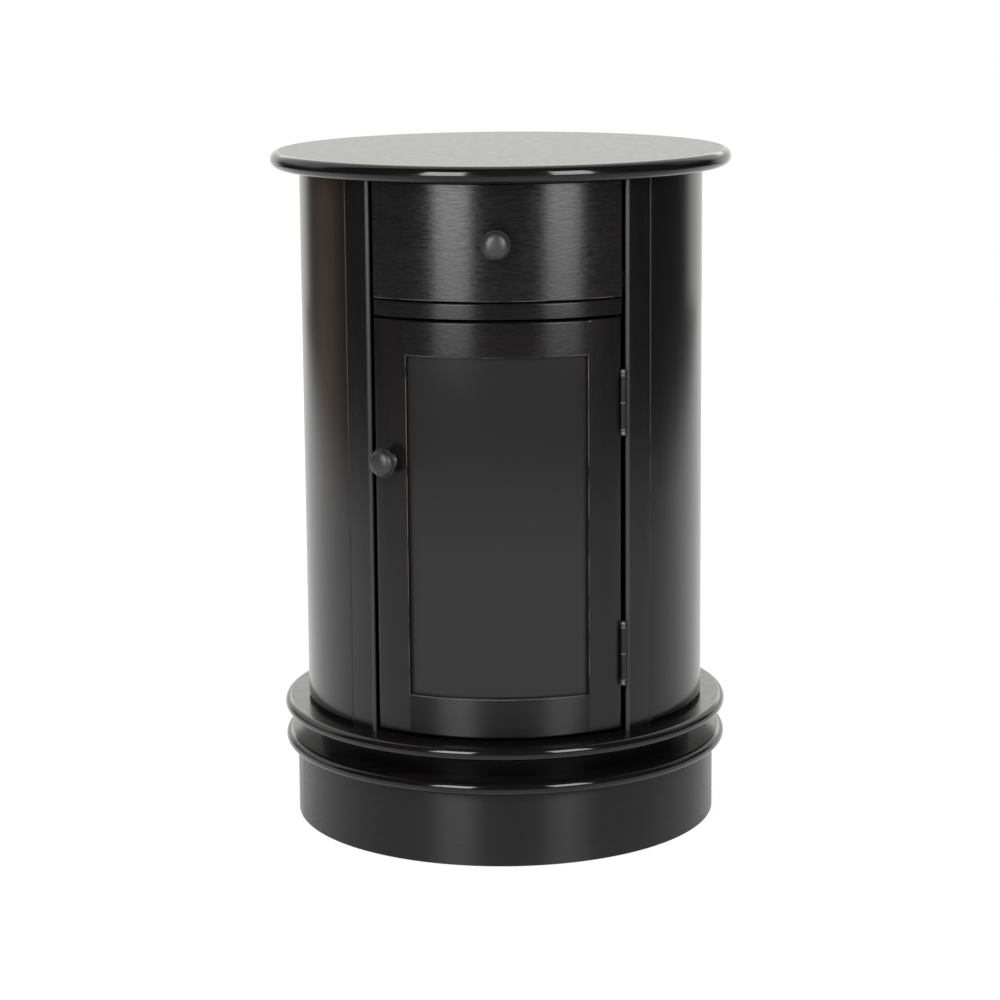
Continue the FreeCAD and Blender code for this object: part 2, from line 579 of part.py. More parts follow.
def drawer_front():
    front = bowed(DRAWER_FRONT_BACK, FRONT_RADIUS, -DRAWER_FRONT_EDGE, DRAWER_FRONT_EDGE,
                  DRAWER_FRONT_FOOT, DRAWER_FRONT_HEAD)
    return front.cut(drawer_bottom(GLUE_GAP))


def drawer_side():
    """The right side: its front end follows the back of the bowed front."""
    side = block(SIDE_INNER, SIDE_OUTER, -FRONT_RADIUS, DRAWER_REAR, SIDE_FOOT, SIDE_HEAD)
    side = side.common(disc(DRAWER_FRONT_BACK - GLUE_GAP, SIDE_FOOT, SIDE_HEAD))
    return side.cut(drawer_bottom(GLUE_GAP))


def drawer_bottom(room):
    """The bottom, in the grooves of the front and sides, or the groove's cutter where it has room."""
    edge = SIDE_INNER + DRAWER_GROOVE_DEPTH - GLUE_GAP + room
    reach = DRAWER_FRONT_BACK + DRAWER_GROOVE_DEPTH - GLUE_GAP + room
    foot = BOTTOM_FOOT - room
    head = BOTTOM_HEAD + room
    board = block(-edge, edge, -FRONT_RADIUS, DRAWER_REAR + room, foot, head)
    return board.common(disc(reach, foot, head))


def add_dowels():
    """Two dowels from each drawer side into the front."""
    x = (SIDE_INNER + SIDE_OUTER) / 2
    joint = -math.sqrt(DRAWER_FRONT_BACK ** 2 - x ** 2)
    levels = [SIDE_FOOT + DRAWER_SIDE_HEIGHT * share for share in DOWEL_HEIGHT_SHARES]
    places = [V(side * x, joint + DOWEL_LENGTH / 2, level) for side in (-1, 1) for level in levels]
    dowel = disc(DOWEL_DIAMETER / 2, 0, DOWEL_LENGTH)
    hole = disc(DOWEL_DIAMETER / 2 + SCREW_GAP, -SCREW_GAP, DOWEL_LENGTH + SCREW_GAP)
    parts["drawer_dowels"] = Part.makeCompound([placed(dowel, place, FRONT) for place in places])
    hosts = ["drawer_front", "drawer_left_side", "drawer_right_side"]
    drill(hosts, [placed(hole, place, FRONT) for place in places])


def knob():
    """A mushroom knob that stands up from the origin."""
    head = KNOB_HEAD_DIAMETER / 2
    base = KNOB_BASE_DIAMETER / 2
    crown = head - KNOB_RIM_STEP
    rim_top = KNOB_RIM_HEIGHT + KNOB_RIM_THICKNESS
    rise = KNOB_HEIGHT - rim_top
    sphere = (crown ** 2 + rise ** 2) / (2 * rise)
    lean = math.asin(crown / sphere) / 2
    crown_middle = V(sphere * math.sin(lean), 0, KNOB_HEIGHT - sphere + sphere * math.cos(lean))
    neck = V(KNOB_NECK_DIAMETER / 2, 0, KNOB_NECK_HEIGHT)
    flange = V(base, 0, KNOB_BASE_HEIGHT)
    underside = V(head - KNOB_LIP, 0, KNOB_RIM_HEIGHT)
    return turned([
        Part.makeLine(ORIGIN, V(base, 0, 0)),
        Part.makeLine(V(base, 0, 0), flange),
        Part.Arc(flange, neck, underside).toShape(),
        Part.makeLine(underside, V(head, 0, KNOB_RIM_HEIGHT)),
        Part.makeLine(V(head, 0, KNOB_RIM_HEIGHT), V(head, 0, rim_top)),
        Part.makeLine(V(head, 0, rim_top), V(crown, 0, rim_top)),
        Part.Arc(V(crown, 0, rim_top), crown_middle, V(0, 0, KNOB_HEIGHT)).toShape(),
    ])


def knob_screw(length, room):
    """A pan-head screw that points up, with the underside of its head at the origin, or its hole."""
    shank = disc(KNOB_SCREW_DIAMETER / 2 + room, 0, length + room)
    if room:
        return shank
    head = disc(KNOB_SCREW_HEAD_DIAMETER / 2, -KNOB_SCREW_HEAD_HEIGHT, 0)
    recess = cross(KNOB_SCREW_HEAD_DIAMETER * RECESS_LENGTH_SHARE,
                   KNOB_SCREW_HEAD_DIAMETER * RECESS_WIDTH_SHARE,
                   KNOB_SCREW_HEAD_HEIGHT * RECESS_DEPTH_SHARE)
    recess.translate(V(0, 0, -KNOB_SCREW_HEAD_HEIGHT))
    return head.fuse(shank).removeSplitter().cut(recess)


def add_knob(owner, back, angle, level, hosts):
    """A knob on the front and its screw from behind."""
    node = owner + "_knob"
    toward = outward(angle)
    seat = around(FRONT_RADIUS + KNOB_SEAT_GAP, angle, level)
    head_seat = around(back - KNOB_SEAT_GAP, angle, level)
    length = FRONT_RADIUS - back + KNOB_SCREW_GRIP
    parts[node] = placed(knob(), seat, toward)
    parts[node + "_screw"] = placed(knob_screw(length, 0), head_seat, toward)
    drill(hosts + [node], [placed(knob_screw(length, SCREW_GAP), head_seat, toward)])


def make_door():
    parts["door_latch_stile"] = door_stile(DOOR_LEFT, DOOR_PANEL_LEFT)
    parts["door_hinge_stile"] = door_stile(DOOR_PANEL_RIGHT, DOOR_RIGHT)
    parts["door_head_rail"] = door_rail(DOOR_PANEL_HEAD, DOOR_HEAD)
    parts["door_foot_rail"] = door_rail(DOOR_FOOT, DOOR_PANEL_FOOT)
    parts["door_panel"] = door_panel(-DOOR_TONGUE_ROOM, 0)
    knob_angle = math.degrees(math.asin(LATCH_STILE_MIDDLE / FRONT_RADIUS))
    knob_level = DOOR_FOOT + DOOR_KNOB_RISE
    add_knob("door", DOOR_BACK, knob_angle, knob_level, ["door_latch_stile", "door_panel"])


def door_panel(room, face_room):
    """The panel with its tongues, or the grooves' cutter where it has room on its faces."""
    reach = DOOR_TONGUE + room
    return bowed(DOOR_PANEL_BACK - face_room, DOOR_PANEL_FACE + face_room,
                 DOOR_PANEL_LEFT - reach, DOOR_PANEL_RIGHT + reach,
                 DOOR_PANEL_FOOT - reach, DOOR_PANEL_HEAD + reach)


def door_stile(left, right):
    """A stile with one groove over its whole height, for the panel and the rails' tongues."""
    body = bowed(DOOR_BACK, FRONT_RADIUS, left, right, DOOR_FOOT, DOOR_HEAD)
    groove = bowed(DOOR_PANEL_BACK - GLUE_GAP, DOOR_PANEL_FACE + GLUE_GAP,
                   DOOR_PANEL_LEFT - DOOR_TONGUE, DOOR_PANEL_RIGHT + DOOR_TONGUE,
                   DOOR_FOOT - OVERRUN, DOOR_HEAD + OVERRUN)
    return body.cut(groove)


def door_rail(foot, head):
    """A rail between the stiles, with a tongue at each end and a groove for the panel."""
    reach = DOOR_TONGUE - DOOR_TONGUE_ROOM
    body = bowed(DOOR_BACK, FRONT_RADIUS, DOOR_PANEL_LEFT, DOOR_PANEL_RIGHT, foot, head)
    tongue = bowed(DOOR_PANEL_BACK, DOOR_PANEL_FACE,
                   DOOR_PANEL_LEFT - reach, DOOR_PANEL_RIGHT + reach, foot, head)
    return body.fuse(tongue).removeSplitter().cut(door_panel(0, GLUE_GAP))


def make_catch():
    half = turn(CATCH_LENGTH / 2, CATCH_FACE)
    back = CATCH_FACE - CATCH_DEPTH
    body = sector(back, CATCH_FACE, CATCH_FOOT, DIVIDER_LEVEL, CATCH_ANGLE - half, CATCH_ANGLE + half)
    parts["catch_body"] = body.cut(catch_magnet(GLUE_GAP))
    parts["catch_magnet"] = catch_magnet(0)
    # The two screws go up into the divider board, one at each side of the magnet.
    swing = turn((CATCH_LENGTH + MAGNET_LENGTH) / 4, CATCH_FACE)
    screw_radius = CATCH_FACE - CATCH_DEPTH / 2
    angles = (CATCH_ANGLE - swing, CATCH_ANGLE + swing)
    places = [(around(screw_radius, angle, CATCH_FOOT), UP) for angle in angles]
    fasten("catch_screws", ["catch_body", "divider_board", "divider_rail"], places,
           CATCH_HEIGHT + SCREW_BITE, SMALL_SCREW_DIAMETER, SMALL_SCREW_HEAD_DIAMETER)
    half = turn(STRIKE_LENGTH / 2, STRIKE_FACE)
    head = MAGNET_FOOT + MAGNET_HEIGHT
    foot = head - STRIKE_HEIGHT
    parts["catch_strike"] = sector(STRIKE_FACE, DOOR_BACK - GLUE_GAP, foot, head,
                                   CATCH_ANGLE - half, CATCH_ANGLE + half)
    strike_place = around(STRIKE_FACE + SCREW_SINK, CATCH_ANGLE, (foot + MAGNET_FOOT) / 2)
    fasten("strike_screw", ["catch_strike", "door_latch_stile"], [(strike_place, outward(CATCH_ANGLE))],
           SMALL_SCREW_LENGTH, SMALL_SCREW_DIAMETER, SMALL_SCREW_HEAD_DIAMETER)


def catch_magnet(room):
    """The magnet, flush with the catch's face, or its pocket where it has room."""
    half = turn(MAGNET_LENGTH / 2 + room, CATCH_FACE)
    back = CATCH_FACE - MAGNET_DEPTH - room
    return sector(back, CATCH_FACE + room, MAGNET_FOOT - room, MAGNET_FOOT + MAGNET_HEIGHT + room,
                  CATCH_ANGLE - half, CATCH_ANGLE + half)


def make_hinges():
    levels = {"upper": UPPER_HINGE_LEVEL, "lower": LOWER_HINGE_LEVEL}
    for name, level in levels.items():
        frame_leaf, door_leaf = hinge_leaves(level)
        parts[name + "_hinge_frame_leaf"] = frame_leaf
        parts[name + "_hinge_door_leaf"] = door_leaf
    parts["hinge_pins"] = Part.makeCompound([placed(hinge_pin(), V(HINGE_X, HINGE_Y, level), UP)
                                             for level in levels.values()])
    depth = HINGE_Y + LEAF_DEPTH - SMALL_SCREW_HEAD_DIAMETER
    half = LEAF_SCREW_SPACING / 2
    heights = [level + offset for level in levels.values() for offset in (-half, half)]
    frame_places = [(V(OPENING_EDGE - LEAF_THICKNESS, depth, height), RIGHT) for height in heights]
    frame_hosts = ["upper_hinge_frame_leaf", "lower_hinge_frame_leaf", "right_post"]
    fasten("hinge_frame_screws", frame_hosts, frame_places,
           SMALL_SCREW_LENGTH, SMALL_SCREW_DIAMETER, SMALL_SCREW_HEAD_DIAMETER)
    door_places = [(V(DOOR_RIGHT + LEAF_THICKNESS, depth, height), LEFT) for height in heights]
    door_hosts = ["upper_hinge_door_leaf", "lower_hinge_door_leaf", "door_hinge_stile"]
    fasten("hinge_door_screws", door_hosts, door_places,
           SMALL_SCREW_LENGTH, SMALL_SCREW_DIAMETER, SMALL_SCREW_HEAD_DIAMETER)


def hinge_leaves(level):
    """The post's leaf and the door's leaf of one hinge, with knuckles in turn on each."""
    foot = level - LEAF_HEIGHT / 2
    rear = HINGE_Y + LEAF_DEPTH
    frame_leaf = block(OPENING_EDGE - LEAF_THICKNESS, OPENING_EDGE, HINGE_Y, rear, foot, foot + LEAF_HEIGHT)
    door_leaf = block(DOOR_RIGHT, DOOR_RIGHT + LEAF_THICKNESS, HINGE_Y, rear, foot, foot + LEAF_HEIGHT)
    pitch = LEAF_HEIGHT / KNUCKLE_COUNT
    leaves = [frame_leaf, door_leaf]
    for index in range(KNUCKLE_COUNT):
        bottom = foot + index * pitch
        top = bottom + pitch
        owner = index % 2
        other = 1 - owner
        radius = KNUCKLE_DIAMETER / 2
        knuckle = hinge_tube(radius, bottom + KNUCKLE_GAP / 2, top - KNUCKLE_GAP / 2)
        notch = hinge_tube(radius + KNUCKLE_GAP, bottom - KNUCKLE_GAP / 2, top + KNUCKLE_GAP / 2)
        leaves[owner] = leaves[owner].fuse(knuckle)
        leaves[other] = leaves[other].cut(notch)
    bore = hinge_tube(PIN_DIAMETER / 2 + PIN_GAP, foot - OVERRUN, foot + LEAF_HEIGHT + OVERRUN)
    return [leaf.cut(bore).removeSplitter() for leaf in leaves]


def hinge_tube(radius, bottom, top):
    """A round bar on the hinge axis."""
    return Part.makeCylinder(radius, top - bottom, V(HINGE_X, HINGE_Y, bottom))


def hinge_pin():
    """A pin with a collar and a ball at each end, centred on the origin."""
    half = LEAF_HEIGHT / 2
    collar_head = half + TIP_COLLAR_HEIGHT
    ball = TIP_BALL_DIAMETER / 2
    # The ball is sunk into its collar so that the two join on a circle.
    ball_level = collar_head + math.sqrt(ball ** 2 - (PIN_DIAMETER / 2) ** 2)
    tip = disc(TIP_COLLAR_DIAMETER / 2, half, collar_head).fuse(Part.makeSphere(ball, V(0, 0, ball_level)))
    lower_tip = tip.mirror(ORIGIN, UP)
    return disc(PIN_DIAMETER / 2, -half, half).fuse([tip, lower_tip]).removeSplitter()


make_base()
make_bearing()
make_drum()
make_runners()
make_drawer()
make_door()
make_catch()
make_hinges()

print("Drawer travel", DRAWER_TRAVEL, "mm")
os.makedirs("parts", exist_ok=True)
for node, shape in parts.items():
    shape.exportStep("parts/" + node + ".step")
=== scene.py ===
# %% [markdown]
# # A swivel accent table, dressed
# The construction comes ready made: every piece at its real size in metres, the floor at z = 0, the table's
# axis on z and the front towards -y. This script gives the table its looks. The wooden pieces that show are
# modelled again with fine edges, because a real arris is never razor sharp: it is a narrow band that catches
# light, and here it is also where the black lacquer is rubbed through. The hinges, the disc in the swivel gap
# and all hidden pieces keep their construction meshes and get a finish only.

# %% Load the construction
import json
import math
import bpy
from mathutils import Euler, Matrix, Vector


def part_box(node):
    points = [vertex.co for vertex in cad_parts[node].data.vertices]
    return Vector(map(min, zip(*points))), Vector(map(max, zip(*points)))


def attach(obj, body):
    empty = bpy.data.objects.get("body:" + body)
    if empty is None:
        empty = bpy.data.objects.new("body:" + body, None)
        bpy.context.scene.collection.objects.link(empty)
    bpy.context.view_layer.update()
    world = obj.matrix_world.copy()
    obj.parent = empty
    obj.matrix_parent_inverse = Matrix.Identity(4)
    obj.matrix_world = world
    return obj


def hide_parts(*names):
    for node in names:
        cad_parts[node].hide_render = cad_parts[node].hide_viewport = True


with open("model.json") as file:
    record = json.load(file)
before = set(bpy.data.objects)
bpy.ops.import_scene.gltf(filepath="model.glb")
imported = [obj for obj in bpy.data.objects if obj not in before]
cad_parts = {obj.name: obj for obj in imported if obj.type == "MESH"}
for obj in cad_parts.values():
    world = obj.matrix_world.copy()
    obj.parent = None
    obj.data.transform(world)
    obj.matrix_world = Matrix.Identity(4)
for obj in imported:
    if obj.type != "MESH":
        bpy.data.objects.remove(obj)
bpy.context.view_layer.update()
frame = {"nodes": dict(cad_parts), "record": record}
MM = 0.001

# %% [markdown]
# ## Camera
# The photograph was taken from a little above the top, about 2.8 m away, with a long lens. The round top,
# the two plates and the base are circles, and their ellipses give the distance, height and tilt. The small
# lens shift stands for the way the picture was framed, and the small roll for a camera that wasn't level.

# %% Camera
VIEW_SIDE = math.radians(1.45)
VIEW_TURN = math.radians(0.055)
VIEW_TILT = math.radians(9.88)
VIEW_ROLL = math.radians(-0.466)
VIEW_DISTANCE = 2.823
VIEW_HEIGHT = 0.889
VIEW_LENS_MM = 102.7
VIEW_SHIFT = -0.08

bpy.ops.object.camera_add(location=(VIEW_DISTANCE * math.sin(VIEW_SIDE),
                                    -VIEW_DISTANCE * math.cos(VIEW_SIDE), VIEW_HEIGHT))
camera = bpy.context.object
aim = Euler((math.pi / 2 - VIEW_TILT, 0, VIEW_SIDE + VIEW_TURN)).to_matrix()
camera.rotation_euler = (aim @ Matrix.Rotation(VIEW_ROLL, 3, "Z")).to_euler()
camera.data.lens = VIEW_LENS_MM
camera.data.shift_y = VIEW_SHIFT
bpy.context.scene.camera = camera
bpy.context.scene.view_settings.view_transform = "Standard"
print("Camera at", [round(value, 3) for value in camera.location])

# %% [markdown]
# ## Nodes and colours
# Materials are networks of nodes. One small function adds a node, sets its options and fills its inputs with
# values or with links. Another turns the hex colours of a colour picker, which are sRGB, into the linear
# values that light is reckoned in.

# %% Helpers for nodes and colours
def node(tree, kind, inputs=None, **settings):
    """Adds a node. Inputs are named or numbered, and each is a value or another node's output."""
    made = tree.nodes.new("ShaderNode" + kind)
    for name, value in settings.items():
        setattr(made, name, value)
    for name, value in (inputs or {}).items():
        if isinstance(value, bpy.types.NodeSocket):
            tree.links.new(value, made.inputs[name])
        else:
            made.inputs[name].default_value = value
    return made


def colour(code):
    """The linear colour of an sRGB hex code."""
    parts = [int(code[place:place + 2], 16) / 255 for place in (1, 3, 5)]
    return [part / 12.92 if part <= 0.04045 else ((part + 0.055) / 1.055) ** 2.4 for part in parts] + [1]


print("Mid grey #808080 is", round(colour("#808080")[0], 3), "in linear light")

# %% [markdown]
# ## Studio
# Black lacquer has almost no colour of its own: what the eye sees is what it mirrors. The sides of the drum
# turn white at their outlines because a white sweep stands behind the table, the top mirrors the same sweep,
# and the front is dark because the studio in front of it is dark. So the world is bright behind and dim in
# front. The lamps light the sweep most some way above the floor, and the ends of the two plates mirror that
# brighter strip. A world whose light depends on the direction does this with no large lit planes to model.

# %% White sweep behind, dim studio in front
SWEEP_LEVEL = 1.08
SWEEP_MIDDLE = math.radians(4)
SWEEP_EDGE = math.radians(33)
SWEEP_END = math.radians(49)
STRIP_RISE, STRIP_CORE, STRIP_REACH = 0.275, 0.02, 0.075    # a rise of 0 is level, 1 is straight up
STRIP_GAIN = 2.2
STRIP_BREADTH = math.radians(30)
DIM_STUDIO = 0.02

world = bpy.data.worlds.new("white sweep and dim studio")
bpy.context.scene.world = world
world.use_nodes = True
tree = world.node_tree
tree.nodes.clear()
direction = node(tree, "TexCoord").outputs["Generated"]
level = node(tree, "VectorMath", {0: direction, 1: (1, 1, 0)}, operation="MULTIPLY")
level = node(tree, "VectorMath", {0: level.outputs[0]}, operation="NORMALIZE")
behind = node(tree, "VectorMath", {0: level.outputs[0], 1: (math.sin(SWEEP_MIDDLE), math.cos(SWEEP_MIDDLE), 0)},
              operation="DOT_PRODUCT")
sweep = node(tree, "MapRange", {"Value": behind.outputs["Value"], "From Min": math.cos(SWEEP_END),
                                "From Max": math.cos(SWEEP_EDGE), "To Min": DIM_STUDIO, "To Max": SWEEP_LEVEL},
             interpolation_type="SMOOTHSTEP")
rise = node(tree, "SeparateXYZ", {0: direction}).outputs["Z"]
off_strip = node(tree, "Math", {0: rise, 1: STRIP_RISE}, operation="SUBTRACT")
off_strip = node(tree, "Math", {0: off_strip.outputs[0]}, operation="ABSOLUTE")
strip = node(tree, "MapRange", {"Value": off_strip.outputs[0], "From Min": STRIP_CORE, "From Max": STRIP_REACH,
                                "To Min": STRIP_GAIN, "To Max": 1.0}, interpolation_type="SMOOTHSTEP")
strip = node(tree, "MapRange", {"Value": behind.outputs["Value"], "From Min": math.cos(STRIP_BREADTH),
                                "From Max": math.cos(STRIP_BREADTH / 2), "To Min": 1.0, "To Max": strip.outputs[0]},
             interpolation_type="SMOOTHSTEP")
lit = node(tree, "Math", {0: sweep.outputs[0], 1: strip.outputs[0]}, operation="MULTIPLY")
print("World:", world.name)

# %% [markdown]
# ## Side boards
# White boards stand at both sides, as a photographer sets them up. They are what greys the ends of the top's
# round edge. Each is a soft patch of the world, full up to half its width and height, that is added to the
# sweep. Seen by the camera the world is plain white.

# %% White boards at both sides
SWEEP_COLOUR = "#fefff9"
WHITE = (1, 1, 1, 1)
BOARDS = {    # name: bearing from the back, half width, rise of its middle, half height, brightness
    "left board": (math.radians(-60), math.radians(26), 0.8, 0.85, 0.9),
    "right board": (math.radians(58), math.radians(24), 0.9, 0.8, 0.42),
}

for bearing, breadth, middle, height, glow in BOARDS.values():
    facing = node(tree, "VectorMath", {0: level.outputs[0], 1: (math.sin(bearing), math.cos(bearing), 0)},
                  operation="DOT_PRODUCT")
    across = node(tree, "MapRange", {"Value": facing.outputs["Value"], "From Min": math.cos(breadth),
                                     "From Max": math.cos(breadth / 2), "To Max": glow},
                  interpolation_type="SMOOTHSTEP")
    off = node(tree, "Math", {0: rise, 1: middle}, operation="SUBTRACT")
    off = node(tree, "Math", {0: off.outputs[0]}, operation="ABSOLUTE")
    board = node(tree, "MapRange", {"Value": off.outputs[0], "From Min": height / 2, "From Max": height,
                                    "To Min": across.outputs[0], "To Max": 0.0}, interpolation_type="SMOOTHSTEP")
    lit = node(tree, "Math", {0: lit.outputs[0], 1: board.outputs[0]}, operation="ADD")
ray = node(tree, "LightPath")
seen = node(tree, "Mix", {0: ray.outputs["Is Camera Ray"], 2: lit.outputs[0], 3: 1.0})
tint = node(tree, "Mix", {0: ray.outputs["Is Camera Ray"], 6: colour(SWEEP_COLOUR), 7: WHITE}, data_type="RGBA")
background = node(tree, "Background", {"Color": tint.outputs[2], "Strength": seen.outputs[0]})
node(tree, "OutputWorld", {"Surface": background.outputs[0]})
print("Side boards:", ", ".join(BOARDS))

# %% [markdown]
# ## Floor
# The floor is white paper, rolled out flat. It is not a piece of the table. A wide disc is enough: at its rim
# the paper is as white as the world behind it, so no edge shows.

# %% Floor
FLOOR_RADIUS = 4.0
FLOOR_STEPS = 96

bpy.ops.object.select_all(action="DESELECT")
bpy.ops.mesh.primitive_circle_add(vertices=FLOOR_STEPS, radius=FLOOR_RADIUS, fill_type="NGON")
floor = bpy.context.object
floor.name = "paper_floor"
print("Floor radius", FLOOR_RADIUS, "m")

# %% [markdown]
# ## White paper
# The camera and the mirrors of the lacquer see the paper glow, so that it reads as white, and a share of plain
# diffuse light keeps the table's shadow. Far out in front the paper ends, which is why the lower half of the
# door is lighter than the upper half: it mirrors the paper.

# %% White paper
PAPER_FADE, PAPER_END = 1.5, 2.7               # where it ends in front, in metres from the axis
PAPER_AHEAD, PAPER_BEHIND = 0.7, 1.1           # how bright the lacquer mirrors it in front and behind
PAPER_TURN = 0.45                              # it turns from one to the other this close to the axis,
PAPER_SLANT = math.radians(17)                 # across a line that slants by this angle
PAPER_NEAR, PAPER_FAR = 0.86, 1.0              # how bright the camera sees it close to the table and far off
PAPER_NEAR_REACH, PAPER_FAR_REACH = 0.5, 1.1
PAPER_SHADE = 0.3
PAPER_PLAIN = 0.8

paper = bpy.data.materials.new("white paper")
paper.use_nodes = True
paper.cycles.emission_sampling = "NONE"    # only mirrors see it glow, so it is no lamp
tree = paper.node_tree
tree.nodes.clear()
ray = node(tree, "LightPath")
flat = node(tree, "TexCoord").outputs["Object"]
place = node(tree, "SeparateXYZ", {0: flat})
ahead = node(tree, "Math", {0: place.outputs["Y"], 1: 0.0}, operation="MINIMUM")
ahead = node(tree, "CombineXYZ", {"X": place.outputs["X"], "Y": ahead.outputs[0]})
reach = node(tree, "VectorMath", {0: ahead.outputs[0]}, operation="LENGTH")
back = node(tree, "VectorMath", {0: flat, 1: (-math.sin(PAPER_SLANT), math.cos(PAPER_SLANT), 0)},
            operation="DOT_PRODUCT")
whole = node(tree, "MapRange", {"Value": back.outputs["Value"], "From Min": -PAPER_TURN, "From Max": PAPER_TURN,
                                "To Min": PAPER_AHEAD, "To Max": PAPER_BEHIND}, interpolation_type="SMOOTHSTEP")
mirrored = node(tree, "MapRange", {"Value": reach.outputs["Value"], "From Min": PAPER_FADE, "From Max": PAPER_END,
                                   "To Min": whole.outputs[0], "To Max": DIM_STUDIO},
                interpolation_type="SMOOTHSTEP")
centre = node(tree, "VectorMath", {0: flat}, operation="LENGTH")
white = node(tree, "MapRange", {"Value": centre.outputs["Value"], "From Min": PAPER_NEAR_REACH,
                                "From Max": PAPER_FAR_REACH, "To Min": PAPER_NEAR, "To Max": PAPER_FAR},
             interpolation_type="SMOOTHSTEP")
mirror_glow = node(tree, "Emission", {"Strength": mirrored.outputs[0]})
white_glow = node(tree, "Emission", {"Strength": white.outputs[0]})
shade = node(tree, "BsdfDiffuse", {"Color": (PAPER_SHADE, PAPER_SHADE, PAPER_SHADE, 1)})
seen = node(tree, "AddShader", {0: white_glow.outputs[0], 1: shade.outputs[0]})
plain = node(tree, "BsdfDiffuse", {"Color": (PAPER_PLAIN, PAPER_PLAIN, PAPER_PLAIN, 1)})
is_mirrored = node(tree, "Math", {0: ray.outputs["Is Glossy Ray"], 1: ray.outputs["Is Transmission Ray"]},
                   operation="MAXIMUM")
lit = node(tree, "MixShader", {0: is_mirrored.outputs[0], 1: plain.outputs[0], 2: mirror_glow.outputs[0]})
surface = node(tree, "MixShader", {0: ray.outputs["Is Camera Ray"], 1: lit.outputs[0], 2: seen.outputs[0]})
node(tree, "OutputMaterial", {"Surface": surface.outputs[0]})
floor.data.materials.append(paper)
print("The paper fades between", PAPER_FADE, "and", PAPER_END, "m in front")

# %% [markdown]
# ## Softboxes
# Two tall softboxes stand left and right of the camera. Their mirror images are the two upright bands of
# light on the drawer. The left one is brighter. Both get dimmer towards their lower edge, so the bands die
# away on the upper part of the door.

# %% Softboxes
SOFTBOX_DISTANCE = 1.5
SOFTBOX_HEAD = 1.6
SOFTBOX_FADE = 0.42


def softbox(name, side, width, foot, radiance):
    """A tall softbox that faces the table's axis, so many degrees from the front. It is dim at its foot."""
    height = SOFTBOX_HEAD - foot
    bearing = math.radians(side)
    bpy.ops.object.light_add(type="AREA", rotation=(math.pi / 2, 0, bearing), location=(
        SOFTBOX_DISTANCE * math.sin(bearing), -SOFTBOX_DISTANCE * math.cos(bearing), foot + height / 2))
    lamp = bpy.context.object
    lamp.name = name
    lamp.visible_camera = False
    lamp.data.shape = "RECTANGLE"
    lamp.data.size = width
    lamp.data.size_y = height
    lamp.data.energy = radiance * math.pi * width * height
    lamp.data.use_nodes = True
    tree = lamp.data.node_tree
    tree.nodes.clear()
    spot = node(tree, "SeparateXYZ", {0: node(tree, "NewGeometry").outputs["Parametric"]})
    fade = node(tree, "MapRange", {"Value": spot.outputs["Y"], "From Min": 0, "From Max": SOFTBOX_FADE / height},
                interpolation_type="SMOOTHSTEP")
    glow = node(tree, "Emission", {"Strength": fade.outputs[0]})
    node(tree, "OutputLight", {"Surface": glow.outputs[0]})
    print(name, round(lamp.data.energy, 1), "W")


softbox("left_softbox", side=-24.8, width=0.52, foot=0.24, radiance=9.0)
softbox("right_softbox", side=34.2, width=0.50, foot=0.28, radiance=8.2)

# %% [markdown]
# ## Black lacquer
# The table is close-grained hardwood, stained dark and brushed with black satin lacquer. The lacquer is thin,
# so the grain still telegraphs. Fine streaks along each board scatter light across the grain: on the level
# grain of the drawer and rails the lamps are drawn out into tall bands, on the upright grain of the panel they
# melt away sideways. That is anisotropic roughness. A brown undertone shows in places, and a warm brown streak
# can be painted into the colour as a reflection. A clear film on a near-black ground has an IOR of about 1.5.
# One function makes the finish for every grain direction, because the lacquer is the same and only the board
# under it turns.

# %% Black lacquer
LACQUER_BLACK = "#121213"
LACQUER_BROWN = "#3a2a20"
# the colour of a warm reflection that is painted on the left wall
WARM_REFLECTION_BROWN = "#3f352e"
FILM_IOR = 1.5
POLISH_ROUGHNESS = 0.12
STREAK_LENGTH = 10.0 * MM
STREAK_WIDTH = 1.4 * MM        # real pores are about 0.3 mm wide, too fine to show at this distance
BAND_LENGTH = 300.0 * MM
BAND_WIDTH = 24.0 * MM
RIPPLE_LENGTH = 8.0 * MM
RIPPLE_WIDTH = 2.6 * MM
RIPPLE_SHARE = 1.6
BROWN_FROM, BROWN_FULL = 0.45, 0.7    # values of the noise, which is mostly between 0.3 and 0.7
FINE_LOW, FINE_HIGH = 0.35, 0.65
ROUGHNESS_PER_DEPTH = 0.85 / MM       # deeper grain makes the film less even
SIDEWAYS, UPWARDS = 0.0, 0.25         # turns of the direction in which the grain scatters light
REFLECTION_REACH = 48.0 * MM
REFLECTION_FOOT, REFLECTION_HEAD = 0.27, 0.48     # heights between which the painted reflection grows, in metres


def fresh_material(name):
    """An empty material and its tree."""
    material = bpy.data.materials.new(name)
    material.use_nodes = True
    material.node_tree.nodes.clear()
    return material, material.node_tree


def streaks(tree, grain, length, width, detail):
    """Noise that is drawn out along the grain: grain says which axes it runs along."""
    place = node(tree, "TexCoord").outputs["Object"]
    scale = [1 / length if runs else 1 / width for runs in grain]
    drawn = node(tree, "Mapping", {"Vector": place, "Scale": scale})
    return node(tree, "TexNoise", {"Vector": drawn.outputs[0], "Scale": 1, "Detail": detail}).outputs[0]


def painted_reflection_share(tree, streak):
    """How much painted warm reflection is mixed in: most along an upright streak, less beside it and towards the
    foot.
    """
    spot = node(tree, "TexCoord").outputs["Object"]
    height = node(tree, "SeparateXYZ", {0: spot}).outputs["Z"]
    above = node(tree, "MapRange", {"Value": height, "From Min": REFLECTION_FOOT, "From Max": REFLECTION_HEAD},
                 interpolation_type="SMOOTHSTEP")
    flat = node(tree, "VectorMath", {0: spot, 1: (1, 1, 0)}, operation="MULTIPLY")
    gap = node(tree, "VectorMath", {0: flat.outputs[0], 1: streak}, operation="DISTANCE")
    wear_and_painted_light = node(tree, "MapRange", {"Value": gap.outputs["Value"], "From Max": REFLECTION_REACH,
                                   "To Min": above.outputs[0], "To Max": 0}, interpolation_type="SMOOTHSTEP")
    return wear_and_painted_light.outputs[0]


